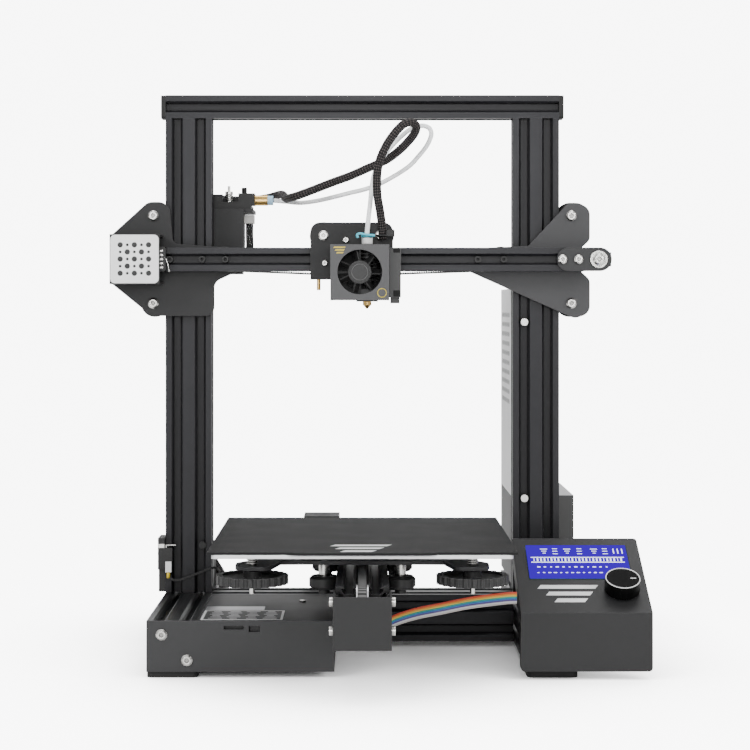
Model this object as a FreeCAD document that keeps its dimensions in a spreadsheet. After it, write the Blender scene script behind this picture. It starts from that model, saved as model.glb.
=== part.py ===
import FreeCAD, Part
import math
import os
from types import SimpleNamespace

import Sketcher

# A desktop filament printer: slotted aluminium frame, gantry that climbs a lead screw, carriage with
# the hot end, bed that slides front to back, display unit, control box and power supply.
# X runs to the right, Y to the back, Z up. Everything is laid out about the middle of the uprights
# at floor level, and each sub-part's Placement then moves it so that the origin is at the middle of
# the printer's outline, on the floor.

Vector = FreeCAD.Vector
doc = FreeCAD.newDocument("filament_printer")

DRIVING = {
    "module_side": 20,
    "foot_high": 5,
    "frame_half_gap": 150,
    "side_rail_long": 285,
    "side_rail_back": 132,
    "upright_long": 410,
    "bed_rail_long": 365,
    "bed_rail_back": 123,
    "slot_mouth": 9.8,
    "slot_throat": 6.2,
    "slot_lip": 1.8,
    "slot_cavity": 11,
    "slot_deep": 6,
    "core_bore": 4.2,
    "sheet_thick": 3,
    "thin_sheet": 1.5,
    "wheel_radius": 11.95,
    "wheel_wide": 10.2,
    "wheel_tread": 5.9,
    "wheel_reach": 10.05,
    "bolt_radius": 2.5,
    "running_gap": 0.05,
    "motor_side": 42.3,
    "beam_middle": 332.5,
    "beam_front": -35,
    "beam_left": -170,
    "beam_right": 190,
    "plate_back": -12,
    "bed_side": 235,
    "bed_middle": -99.5,
    "bed_top": 107,
    "bed_plate": 3,
    "bed_sheet": 2,
    "carriage_top": 93,
    "knob_reach": 85,
    "knob_radius": 28,
    "belt_thick": 1.4,
    "belt_wide": 6,
    "small_pitch": 6.37,
    "large_pitch": 11.46,
    "nozzle_across": 4,
    "nozzle_front": -60,
    "nozzle_tip": 290.5,
    "screw_across": -152.5,
    "screw_back": 38,
    "display_left": 124,
    "display_right": 227.2,
    "dial_across": 206.3,
    "dial_up": 28,
    "dial_radius": 14,
    "display_front": -165,
    "display_slope": 27,
    "centre_across": 5.35,
    "centre_back": -56.175,
}


class Size:
    """A length: its number now, and the sheet expression that works it out."""

    def __init__(self, value, text=None):
        self.value = float(value)
        self.text = text or repr(float(value))

    def __add__(self, other):
        other = as_size(other)
        return Size(self.value + other.value, f"({self.text} + {other.text})")

    def __sub__(self, other):
        other = as_size(other)
        return Size(self.value - other.value, f"({self.text} - {other.text})")

    def __mul__(self, factor):
        return Size(self.value * factor, f"({self.text} * {factor})")

    def __truediv__(self, factor):
        return Size(self.value / factor, f"({self.text} / {factor})")

    def __radd__(self, other):
        return as_size(other) + self

    def __rsub__(self, other):
        return as_size(other) - self

    def __rmul__(self, factor):
        return self * factor

    def __neg__(self):
        return Size(-self.value, f"(0 - {self.text})")

    def __float__(self):
        return self.value


def as_size(length):
    return length if isinstance(length, Size) else Size(length)


def make_sheet():
    """Write the driving dimensions and return each as a Size that names its cell."""
    sheet = doc.addObject("Spreadsheet::Sheet", "Dims")
    for row, (alias, value) in enumerate(DRIVING.items(), start=1):
        sheet.set(f"A{row}", alias)
        sheet.set(f"B{row}", str(value))
        sheet.setAlias(f"B{row}", alias)
    doc.recompute()
    return SimpleNamespace(**{alias: Size(value, "Dims." + alias) for alias, value in DRIVING.items()})


dim = make_sheet()
rail_side = 2 * dim.module_side
base_top = dim.foot_high + rail_side
bed_rail_top = base_top + rail_side
bed_rail_front = dim.bed_rail_back - dim.bed_rail_long
frame_top = base_top + dim.upright_long
plate_front = dim.plate_back - dim.sheet_thick
beam_y = dim.beam_front + dim.module_side / 2
wheel_high = dim.module_side / 2 + dim.wheel_reach
belt_axis_z = bed_rail_top + 2.1 - dim.large_pitch
upright_wheel = dim.frame_half_gap + dim.module_side + dim.wheel_reach

UP = FreeCAD.Rotation()
ALONG_X = FreeCAD.Rotation(Vector(0, 0, 1), Vector(1, 0, 0))
BACK_X = FreeCAD.Rotation(Vector(0, 0, 1), Vector(-1, 0, 0))
ALONG_Y = FreeCAD.Rotation(Vector(1, 0, 0), -90)
FRONT_Y = FreeCAD.Rotation(Vector(1, 0, 0), 90)
SLOPE = FreeCAD.Rotation(Vector(1, 0, 0), DRIVING["display_slope"])
sub_parts = []


def bind(item, field, length):
    item.setExpression(field, as_size(length).text)


def place(item, spot, turn=UP):
    """Put an object at a spot; the rotation is fixed, the position is bound to the sheet."""
    item.Placement = FreeCAD.Placement(Vector(*map(float, spot)), turn)
    for axis, length in zip("xyz", spot):
        bind(item, f"Placement.Base.{axis}", length)
    return item


def box(low, high):
    """A block between two corners."""
    item = doc.addObject("Part::Box", "block")
    for field, start, end in zip(("Length", "Width", "Height"), low, high):
        bind(item, field, as_size(end) - start)
    return place(item, low)


def rod(spot, radius, length, turn=UP):
    """A cylinder from a spot along the turned Z axis."""
    item = doc.addObject("Part::Cylinder", "rod")
    bind(item, "Radius", radius)
    bind(item, "Height", length)
    return place(item, spot, turn)


def taper(spot, start_radius, end_radius, length, turn=UP):
    item = doc.addObject("Part::Cone", "taper")
    bind(item, "Radius1", start_radius)
    bind(item, "Radius2", end_radius)
    bind(item, "Height", length)
    return place(item, spot, turn)


def fuse(*items):
    item = doc.addObject("Part::MultiFuse", "joined")
    item.Shapes = list(items)
    return item


def cut(base, *tools):
    item = doc.addObject("Part::Cut", "cut")
    item.Base = base
    item.Tool = tools[0] if len(tools) == 1 else fuse(*tools)
    return item


def group(*items):
    """Separate solids that share one node."""
    item = doc.addObject("Part::Compound", "set")
    item.Links = list(items)
    return item


def freeform(shape, name):
    item = doc.addObject("Part::Feature", name)
    item.Shape = shape
    return item


def ring(spot, radius, bore, length, turn=UP):
    return cut(rod(spot, radius, length, turn), rod(spot, bore, length, turn))


def sub_part(label, item, spot=(0, 0, 0), turn=UP):
    """Name a finished piece and place it from the printer's origin."""
    shifted = (spot[0] - dim.centre_across, spot[1] - dim.centre_back, spot[2])
    place(item, shifted, turn)
    item.Label = label
    sub_parts.append(item)
    return item


def origin_plane(body, role):
    return next(item for item in body.Origin.OriginFeatures if item.Role == role)


def new_body(name):
    return doc.addObject("PartDesign::Body", name + "_body")


def sketch(body, role, loops, lift=0):
    """A fully dimensioned sketch on one of the body's planes. A loop is a list of corners, or a
    circle given as its centre and radius."""
    item = body.newObject("Sketcher::SketchObject", "outline")
    item.AttachmentSupport = [(origin_plane(body, role), "")]
    item.MapMode = "FlatFace"
    bind(item, "AttachmentOffset.Base.z", lift)
    for loop in loops:
        if isinstance(loop, tuple):
            add_circle(item, *loop)
        else:
            add_corners(item, loop)
    return item


def dimension(item, kind, *where_and_length):
    """Add one distance constraint and bind it to the sheet."""
    *where, length = where_and_length
    index = item.addConstraint(Sketcher.Constraint(kind, *where, float(length)))
    if isinstance(length, Size):
        bind(item, f"Constraints[{index}]", length)


def add_circle(item, across, along, radius):
    centre = Vector(float(across), float(along), 0)
    edge = item.addGeometry(Part.Circle(centre, Vector(0, 0, 1), float(radius)), False)
    dimension(item, "DistanceX", -1, 1, edge, 3, across)
    dimension(item, "DistanceY", -1, 1, edge, 3, along)
    dimension(item, "Radius", edge, radius)


def add_corners(item, corners):
    points = [Vector(float(x), float(y), 0) for x, y in corners]
    ends = points[1:] + points[:1]
    edges = item.addGeometry([Part.LineSegment(*pair) for pair in zip(points, ends)], False)
    for index, edge in enumerate(edges):
        item.addConstraint(Sketcher.Constraint("Coincident", edge, 2, edges[(index + 1) % len(edges)], 1))
        dimension(item, "DistanceX", -1, 1, edge, 1, corners[index][0])
        dimension(item, "DistanceY", -1, 1, edge, 1, corners[index][1])


def pad(body, role, loops, length, lift=0):
    profile = sketch(body, role, loops, lift)
    item = body.newObject("PartDesign::Pad", "pad")
    item.Profile = profile
    bind(item, "Length", length)
    body.Tip = item
    return item


def pocket(body, role, loops, length=None, lift=0):
    """Cut loops: right through both ways, or a length against the plane's direction."""
    profile = sketch(body, role, loops, lift)
    item = body.newObject("PartDesign::Pocket", "pocket")
    item.Profile = profile
    if length is None:
        item.Type = "ThroughAll"
        item.SideType = "Symmetric"
    else:
        bind(item, "Length", length)
    body.Tip = item
    return item


def mirror(body, feature, role):
    item = body.newObject("PartDesign::Mirrored", "mirrored")
    item.Originals = [feature]
    item.MirrorPlane = (origin_plane(body, role), "")
    body.Tip = item
    return item


def round_edges(body, radius, chosen):
    """Fillet the edges of the body's last feature that the test picks by their middle point."""
    doc.recompute()
    base = body.Tip
    names = [f"Edge{n}" for n, edge in enumerate(base.Shape.Edges, start=1) if chosen(edge)]
    item = body.newObject("PartDesign::Fillet", "rounding")
    item.Base = (base, names)
    bind(item, "Radius", radius)
    body.Tip = item
    return item


def runs_along(edge, axis):
    """True for a straight edge along one axis."""
    ends = [vertex.Point for vertex in edge.Vertexes]
    return len(ends) == 2 and abs((ends[1] - ends[0]).normalize().dot(axis)) > 0.999


def rectangle(left, low, right, high):
    return [(left, low), (right, low), (right, high), (left, high)]


def slot_outline(middle, face):
    """One slot seen end-on, opening through the face at the top."""
    mouth = dim.slot_mouth / 2
    throat = dim.slot_throat / 2
    cavity = dim.slot_cavity / 2
    lip = face - dim.slot_lip
    shoulder = lip - 1.5
    floor = face - dim.slot_deep
    half = [(mouth + 1, face + 1), (throat, lip), (cavity, lip), (cavity, shoulder), (throat, floor)]
    left = [(middle - across, high) for across, high in half]
    return left + [(middle + across, high) for across, high in reversed(half)]


def slotted_rail(name, wide, high, length):
    """An extrusion along Z: wide by high modules, a V slot in every module face, bores down it."""
    body = new_body(name)
    half_x = dim.module_side * wide / 2
    half_y = dim.module_side * high / 2
    pad(body, "XY_Plane", [rectangle(-half_x, -half_y, half_x, half_y)], length)
    middles_x = [dim.module_side * (n - (wide - 1) / 2) for n in range(wide)]
    middles_y = [dim.module_side * (n - (high - 1) / 2) for n in range(high)]
    cuts = pocket(body, "XY_Plane", [slot_outline(x, half_y) for x in middles_x])
    mirror(body, cuts, "XZ_Plane")
    side_slots = [[(y, x) for x, y in slot_outline(middle, half_x)] for middle in middles_y]
    cuts = pocket(body, "XY_Plane", side_slots)
    mirror(body, cuts, "YZ_Plane")
    bores = [(x, y, dim.core_bore / 2) for x in middles_x for y in middles_y]
    if wide == high == 2:
        bores.append(rectangle(-6, -6, 6, 6))
    pocket(body, "XY_Plane", bores)
    return body


def v_wheel():
    """A grooved-rail wheel about Z, centred on its bearing, with its bore."""
    tread = dim.wheel_tread / 2
    face = dim.wheel_wide / 2
    chamfer = face - tread
    drum = rod((0, 0, -tread), dim.wheel_radius, dim.wheel_tread)
    shoulder = dim.wheel_radius - chamfer
    upper = taper((0, 0, tread), dim.wheel_radius, shoulder, chamfer)
    lower = taper((0, 0, -face), shoulder, dim.wheel_radius, chamfer)
    bore = rod((0, 0, -face - 1), dim.bolt_radius + dim.running_gap, dim.wheel_wide + 2)
    return cut(fuse(drum, upper, lower), bore)


def motor(name, length, shaft):
    """A square stepper motor: face at Z = 0, boss and shaft upwards, body below."""
    body = new_body(name)
    half = dim.motor_side / 2
    bevel = half - 4
    corners = [(half, bevel), (bevel, half), (-bevel, half), (-half, bevel)]
    corners += [(-x, -y) for x, y in corners]
    pad(body, "XY_Plane", [corners], length, -as_size(length))
    pad(body, "XY_Plane", [(0, 0, 11)], 2)
    pad(body, "XY_Plane", [(0, 0, dim.bolt_radius)], shaft)
    screws = [(x, y, 1.5) for x in (-15.5, 15.5) for y in (-15.5, 15.5)]
    pocket(body, "XY_Plane", screws, 4)
    return body


def pulley(pitch):
    """A toothed-belt pulley about Z: core between two flanges, belt channel centred on Z = 0."""
    core = rod((0, 0, -3.5), pitch - 0.85, 7)
    flanges = [rod((0, 0, z), pitch + 1.1, 1) for z in (-4.5, 3.5)]
    bore = rod((0, 0, -6), dim.bolt_radius + dim.running_gap, 12)
    return cut(fuse(core, *flanges), bore)


def button_head(seat, radius, high, turn=FRONT_Y):
    """A domed screw head with a socket, standing out from its seat."""
    outward = turn.multVec(Vector(0, 0, high))
    brim_top = [a + b * 0.4 for a, b in zip(seat, outward)]
    socket_floor = [a + b * 0.45 for a, b in zip(seat, outward)]
    brim = rod(seat, radius, high * 0.4, turn)
    crown = taper(brim_top, radius, radius * 0.68, high * 0.6, turn)
    return cut(fuse(brim, crown), rod(socket_floor, radius * 0.4, high, turn))


# ---------------------------------------------------------------- frame
def build_frame():
    centre_z = dim.foot_high + rail_side / 2
    rails = []
    for side in (-1, 1):
        rail = slotted_rail("base_side", 2, 2, dim.side_rail_long)
        spot = (side * dim.frame_half_gap, dim.side_rail_back, centre_z)
        rails.append(place(rail, spot, FRONT_Y))
    sub_part("base_side_rails", group(*rails))

    cross_long = 2 * dim.frame_half_gap - rail_side
    sub_part("cross_beam", slotted_rail("cross", 2, 2, cross_long), (-cross_long / 2, 0, centre_z), ALONG_X)

    bed_rail = slotted_rail("bed_rail", 2, 2, dim.bed_rail_long)
    spot = (0, dim.bed_rail_back, base_top + rail_side / 2)
    sub_part("y_rail", bed_rail, spot, FRONT_Y)

    uprights = []
    for side in (-1, 1):
        rail = slotted_rail("upright", 2, 1, dim.upright_long)
        uprights.append(place(rail, (side * dim.frame_half_gap, 0, base_top)))
    sub_part("uprights", group(*uprights))

    top_long = 2 * dim.frame_half_gap + rail_side
    spot = (-top_long / 2, 0, frame_top + dim.module_side / 2)
    sub_part("top_bar", slotted_rail("top", 1, 1, top_long), spot, ALONG_X)


def build_feet_and_caps():
    feet = []
    for side in (-1, 1):
        for y in (-138, 112):
            body = new_body("foot")
            half = dim.module_side
            pad(body, "XY_Plane", [rectangle(-half, -15, half, 15)], dim.foot_high)
            round_edges(body, 4, lambda edge: runs_along(edge, Vector(0, 0, 1)))
            feet.append(place(body, (side * dim.frame_half_gap, y, 0)))
    for side in (-1, 1):
        body = new_body("cap")
        half = dim.module_side / 2
        pad(body, "YZ_Plane", [rectangle(-half, -half, half, half)], 4)
        round_edges(body, 2.5, lambda edge: runs_along(edge, Vector(1, 0, 0)))
        outside = dim.frame_half_gap + dim.module_side
        left = -outside - 4 if side < 0 else outside
        feet.append(place(body, (left, 0, frame_top + half)))
    sub_part("feet_and_end_caps", group(*feet))


def bed_rail_bracket(rail_end, direction, low):
    """A folded U of sheet over one end of the bed rail, carrying the belt pulley's pin."""
    half = rail_side / 2
    skin = dim.thin_sheet
    high = low + 39
    far = rail_end + direction * 27.5
    lap = rail_end - direction * 9
    y_low, y_high = (lap, far) if direction > 0 else (far, lap)
    cheeks = [box((-half - skin, y_low, low), (-half, y_high, high))]
    cheeks.append(box((half, y_low, low), (half + skin, y_high, high)))
    web = (far - skin, far) if direction > 0 else (far, far + skin)
    cheeks.append(box((-half, web[0], low), (half, web[1], high)))
    axle = rail_end + direction * 13
    holes = [rod((-half - 4, axle, belt_axis_z), dim.bolt_radius + 0.2, rail_side + 8, ALONG_X)]
    return cut(fuse(*cheeks), *holes)


def build_brackets():
    front = bed_rail_bracket(bed_rail_front, -1, base_top - 2.8)
    back = bed_rail_bracket(dim.bed_rail_back, 1, base_top + 1)
    boss_hole = rod((-rail_side, dim.bed_rail_back + 13, belt_axis_z), 11.5, rail_side, ALONG_X)
    back = cut(back, boss_hole)
    motor_plate = box((-174, 13, 79), (-131, 60, 82))
    lip = box((-174, 10, 50), (-131, 13, 82))
    hole = rod((dim.screw_across, dim.screw_back, 78), 11.5, 5)
    z_bracket = cut(fuse(motor_plate, lip), hole)
    sub_part("frame_brackets", group(front, back, z_bracket))


def build_bed_drive():
    front_axle = bed_rail_front - 13
    back_axle = dim.bed_rail_back + 13
    skin = dim.thin_sheet
    half = rail_side / 2
    face = -half - skin
    sub_part("y_motor", motor("y_motor", 33, 28), (face, back_axle, belt_axis_z), ALONG_X)
    inner = dim.large_pitch - dim.belt_thick / 2
    outer = dim.large_pitch + dim.belt_thick / 2
    runs = []
    for low, high in ((inner, outer), (-outer, -inner)):
        spot_low = (-dim.belt_wide / 2, front_axle, belt_axis_z + low)
        runs.append(box(spot_low, (dim.belt_wide / 2, back_axle, belt_axis_z + high)))
    turns = []
    for axle, far in ((front_axle, front_axle - outer - 1), (back_axle, back_axle + outer + 1)):
        loop = ring((-dim.belt_wide / 2, axle, belt_axis_z), outer, inner, dim.belt_wide, ALONG_X)
        y_low, y_high = sorted((axle, far), key=float)
        limits = box((-half, y_low, belt_axis_z - 20), (half, y_high, belt_axis_z + 20))
        turn = doc.addObject("Part::Common", "turn")
        turn.Base = loop
        turn.Tool = limits
        turns.append(turn)
    sub_part("y_belt", fuse(*runs, *turns))
    for label, axle in (("y_drive_pulley", back_axle), ("y_idler_pulley", front_axle)):
        sub_part(label, pulley(dim.large_pitch), (0, axle, belt_axis_z), ALONG_X)


def build_bed():
    middle = dim.bed_middle
    top = dim.carriage_top
    body = new_body("bed_carriage")
    quarter = [(0, 62), (45, 62), (64, 63), (71, 97), (98, 97), (98, 71), (72, 34), (45, 16), (45, 0)]
    right = quarter + [(x, -z) for x, z in reversed(quarter[:-1])]
    corners = right + [(-x, z) for x, z in reversed(right[1:-1])]
    pad(body, "XY_Plane", [corners], dim.sheet_thick, top - dim.sheet_thick)
    round_edges(body, 12, lambda edge: at_arm_end(edge, 97, 97))
    round_edges(body, 8, lambda edge: at_arm_end(edge, 71, 97) or at_arm_end(edge, 98, 71))
    holes = [(x, y, 2.6) for x in (-30.05, 30.05) for y in (-50, 50)]
    corner_holes = [(x, y, 2.1) for x in (-85, 85) for y in (-85, 85)]
    pocket(body, "XY_Plane", holes + corner_holes)
    sub_part("bed_carriage", body, (0, middle, 0))

    plate_low = dim.bed_top - dim.bed_sheet - dim.bed_plate
    half = dim.bed_side / 2
    body = new_body("heated_bed")
    plate_half = half - 3.3
    pad(body, "XY_Plane", [rectangle(-plate_half, -half, plate_half, half)], dim.bed_plate, plate_low)
    round_edges(body, 3, lambda edge: runs_along(edge, Vector(0, 0, 1)))
    pocket(body, "XY_Plane", corner_holes)
    sub_part("heated_bed", body, (0, middle, 0))

    body = new_body("build_surface")
    notch = [(-half, -half), (-57, -half), (-50, -half - 4), (50, -half - 4), (57, -half), (half, -half)]
    pad(body, "XY_Plane", [notch + [(half, half), (-half, half)]], dim.bed_sheet, dim.bed_top - dim.bed_sheet)
    sub_part("build_surface", body, (0, middle, 0))

    hardware = []
    for across in (-85, 85):
        for along in (-85, 85):
            spot = (across, middle + along)
            hardware.append(rod((*spot, 71), 2, plate_low + 3 - 71))
            hardware.append(ring((*spot, top + 0.1), 3.2, 2.2, plate_low - top - 0.2))
    for across in (-30.05, 30.05):
        for along in (-50, 50):
            spot = (across, middle + along)
            axle = rod((*spot, 67), dim.bolt_radius, top + 3 - 67)
            head = rod((*spot, top), 4.5, 3)
            foot = rod((*spot, 66), 4.5, 3.5)
            hardware.append(fuse(axle, head, foot))
            hardware.append(ring((*spot, 80.2), 4.5, 2.55, top - dim.sheet_thick - 80.3))
    clamps = [box((-8, middle + end - 6, 88.2), (8, middle + end + 6, 90)) for end in (-30, 30)]
    sub_part("bed_hardware", group(*hardware, *clamps))

    places = {"front_left": (-1, -1), "front_right": (1, -1), "back_left": (-1, 1), "back_right": (1, 1)}
    for name, (side, end) in places.items():
        knob = scalloped_knob()
        sub_part(f"{name}_level_knob", knob, (side * dim.knob_reach, middle + end * dim.knob_reach, 79))
        across = side * (dim.module_side + dim.wheel_reach)
        wheel_spot = (across, middle + end * 50, base_top + 1.5 * dim.module_side)
        sub_part(f"{name}_bed_wheel", v_wheel(), wheel_spot)


def at_arm_end(edge, across, along):
    """True for the upright edge at one of the four mirrored corners of a plate."""
    middle = edge.CenterOfMass
    near = abs(abs(middle.x) - across) < 1.5 and abs(abs(middle.y) - along) < 1.5
    return near and runs_along(edge, Vector(0, 0, 1))


def scalloped_knob():
    """A levelling wheel: a thin disc with a deep rim cut by finger hollows, on a threaded hub."""
    disc = rod((0, 0, 2), dim.knob_radius - 2, 3)
    rim = ring((0, 0, 0), dim.knob_radius, dim.knob_radius - 5, 6.8)
    hub = rod((0, 0, 0), 7, 9.5)
    count = 26
    hollows = []
    for step in range(count):
        angle = 2 * math.pi * step / count
        reach = float(dim.knob_radius) + 0.5
        hollows.append(rod((reach * math.cos(angle), reach * math.sin(angle), -1), 2.1, 12))
    bore = rod((0, 0, -1), 2.05, 12)
    return cut(fuse(disc, rim, hub), bore, *hollows)


# ---------------------------------------------------------------- gantry
def gantry_plate(name, corners, holes, lobes):
    """A plate in front of the uprights; its corners go round in X and Z."""
    body = new_body(name)
    pad(body, "XZ_Plane", [corners], dim.sheet_thick, -dim.plate_back)
    for radius, spots in lobes:
        round_edges(body, radius, lambda edge, spots=spots: near_corner(edge, spots))
    pocket(body, "XZ_Plane", holes)
    return body


def near_corner(edge, spots):
    if not runs_along(edge, Vector(0, 1, 0)):
        return False
    middle = edge.CenterOfMass
    return any(math.hypot(middle.x - float(x), middle.z - float(z)) < 1 for x, z in spots)


def build_gantry_plates():
    mid = dim.beam_middle
    top_wheel, low_wheel = mid + 38, mid - 37.3
    edge = -upright_wheel
    left = [(-216.5, mid - 20), (-216.5, mid + 21), (-184.5, mid + 50), (-166.5, mid + 50)]
    left += [(-163, mid + 14), (-108, mid + 10), (-108, mid - 10), (-127.5, mid - 19)]
    left += [(-127.5, mid - 48.3), (-181.5, mid - 48.3)]
    wheel_holes = [(edge, top_wheel, 2.6), (edge, low_wheel, 2.6), (-119.95, mid, 2.6)]
    beam_holes = [(x, mid, 2.1) for x in (-164, -136.6)]
    lobes = [(10, [left[2], left[3], left[9]]), (6, [left[0], left[1], left[4]]), (8, [left[7], left[8]])]
    holes = wheel_holes + beam_holes + [(-192.6, mid, 11.5)]
    front = gantry_plate("left_plate", left, holes, lobes)

    low, high = mid - 44, mid + 45.5
    behind_upright = box((-192, 12, low), (-134, 15, high))
    behind_beam = box((-192, 12, mid - 12), (-104, 15, high))
    shelf = box((-156, 15, high - 3), (-96, 64, high))
    nut_tab = box((-170, 15, 303.5), (-135, 52, 306.5))
    openings = [rod((x, 11, z), 2.6, 5, ALONG_Y) for x, z in ((edge, top_wheel), (edge, low_wheel))]
    openings.append(rod((-119.95, 11, mid), 2.6, 5, ALONG_Y))
    openings.append(rod((dim.screw_across, dim.screw_back, 300), 5.3, 90))
    openings.append(rod((-126.4, 40, high - 4), 11.2, 5))
    openings.append(box((-193, 11, mid - 22), (-169, 16, mid + 22)))
    bracket = cut(fuse(behind_upright, behind_beam, shelf, nut_tab), *openings)
    nut_spot = (dim.screw_across, dim.screw_back)
    nut = fuse(ring((*nut_spot, 300), 10, 4.05, 3.5), ring((*nut_spot, 300), 5.1, 4.05, 16))
    sub_part("left_gantry_plates", group(front, bracket, nut))

    right = [(92, mid - 10), (183, mid - 50.5), (196, mid - 46), (196, mid - 17), (189, mid - 10.5)]
    right += [(189, mid + 10.5), (196, mid + 17), (196, mid + 44), (187, mid + 49), (178, mid + 49.5)]
    right += [(143, mid + 12), (92, mid + 10)]
    holes = [(upright_wheel, top_wheel, 2.6), (upright_wheel, low_wheel, 2.6), (119.95, mid, 2.6)]
    holes += [(x, mid, 2.1) for x in (98.5, 145)]
    lobes = [(9, [right[1], right[2], right[7], right[8], right[9]]), (7, [right[3], right[6]])]
    sub_part("right_gantry_plate", gantry_plate("right_plate", right, holes, lobes))

    beam_long = dim.beam_right - dim.beam_left
    beam = slotted_rail("x_beam", 1, 1, beam_long)
    sub_part("x_beam", beam, (dim.beam_left, beam_y, mid), ALONG_X)

    wheels = []
    bolts = []
    wheel_spots = [(-upright_wheel, top_wheel), (-upright_wheel, low_wheel), (-119.95, mid)]
    wheel_spots += [(upright_wheel, top_wheel), (upright_wheel, low_wheel), (119.95, mid)]
    for x, z in wheel_spots:
        wheels.append(place(v_wheel(), (x, 0, z), ALONG_Y))
        hidden = abs(float(x)) < 130
        long_bolt = float(x) < 0
        end = 18 if long_bolt else 9.5
        nut_y = 15 if long_bolt else end - 3.2
        shank = rod((x, plate_front, z), dim.bolt_radius, end - plate_front, ALONG_Y)
        parts = [shank, rod((x, nut_y, z), 4.2, 3, ALONG_Y)]
        if not hidden:
            parts.append(button_head((x, plate_front, z), 4.7, 2.8))
        bolts.append(fuse(*parts))
        bolts.append(ring((x, plate_front + 3, z), 4.5, 2.55, 6.8, ALONG_Y))
        if long_bolt:
            bolts.append(ring((x, 5.2, z), 4.5, 2.55, 6.8, ALONG_Y))
    for x in (-164, -136.6, -116.7, 98.5, 120.5):
        bolts.append(ring((x, dim.beam_front + 0.8, mid), 2.9, 1.4, 3.5, ALONG_Y))
    sub_part("gantry_wheels", group(*wheels))
    sub_part("gantry_bolts", group(*bolts))


def build_gantry_drive():
    mid = dim.beam_middle
    drive_x, idler_x = -192.6, 201
    sub_part("x_motor", motor("x_motor", 38, 22), (drive_x, plate_front + 3, mid), FRONT_Y)
    sub_part("x_drive_pulley", pulley(dim.small_pitch), (drive_x, beam_y, mid), ALONG_Y)
    sub_part("x_idler_pulley", pulley(dim.small_pitch), (idler_x, beam_y, mid), ALONG_Y)

    half = dim.motor_side / 2
    shell = box((drive_x - half, -45, mid - half), (drive_x + half, plate_front, mid + half))
    hollow = box((drive_x - half + 2, -43, mid - half + 2), (drive_x + half + 1, -14, mid + half - 2))
    sub_part("x_motor_cover", cut(shell, hollow))

    left_round, right_round = 175.5, 202
    front = box((left_round, -37.5, mid - 10), (right_round, dim.beam_front, mid + 10))
    ends = [rod((x, -37.5, mid), 10, 2.5, ALONG_Y) for x in (left_round, right_round)]
    web = box((209.4, -37.5, mid - 6), (211.4, -13, mid + 6))
    back = box((199, -15, mid - 6), (211.4, -13, mid + 6))
    pin = rod((idler_x, -38.5, mid), 2.5, 24.5, ALONG_Y)
    washer = rod((idler_x, -38.3, mid), 7.4, 1, ALONG_Y)
    heads = [button_head((idler_x, -38.3, mid), 5, 2.4)]
    heads += [button_head((x, -37.5, mid), 4, 2.2) for x in (170.2, 183.8)]
    sub_part("belt_tensioner", fuse(front, *ends, web, back, pin, washer, *heads))

    belt = belt_band(drive_x, idler_x)
    sub_part("x_belt", freeform(belt, "x_belt_band"))


def belt_band(drive_x, idler_x):
    """The carriage belt: along the top slot, round both pulleys, and out of the lower slot to the
    two clamps under the carriage."""
    mid = float(dim.beam_middle)
    radius = float(dim.small_pitch) - float(dim.belt_thick) / 2
    front = float(beam_y) - float(dim.belt_wide) / 2
    clamp_z = mid - 12.5

    def point(x, z):
        return Vector(x, front, z)

    def half_turn(x, outward):
        """Round a pulley at x, by way of the point that is furthest outward."""
        return Part.Arc(point(x, mid - radius), point(x + outward * radius, mid), point(x, mid + radius)).toShape()

    edges = [
        Part.makeLine(point(-40, clamp_z), point(drive_x, mid - radius)),
        half_turn(drive_x, -1),
        Part.makeLine(point(drive_x, mid + radius), point(idler_x, mid + radius)),
        half_turn(idler_x, 1),
        Part.makeLine(point(idler_x, mid - radius), point(24, clamp_z)),
    ]
    middle_line = Part.Wire(edges)
    strip = middle_line.makeOffset2D(-float(dim.belt_thick), 0, True, True)
    outward = strip.BoundBox.ZMax > mid + radius + 0.5
    if not outward:
        strip = middle_line.makeOffset2D(float(dim.belt_thick), 0, True, True)
    return strip.extrude(Vector(0, float(dim.belt_wide), 0))


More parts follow.
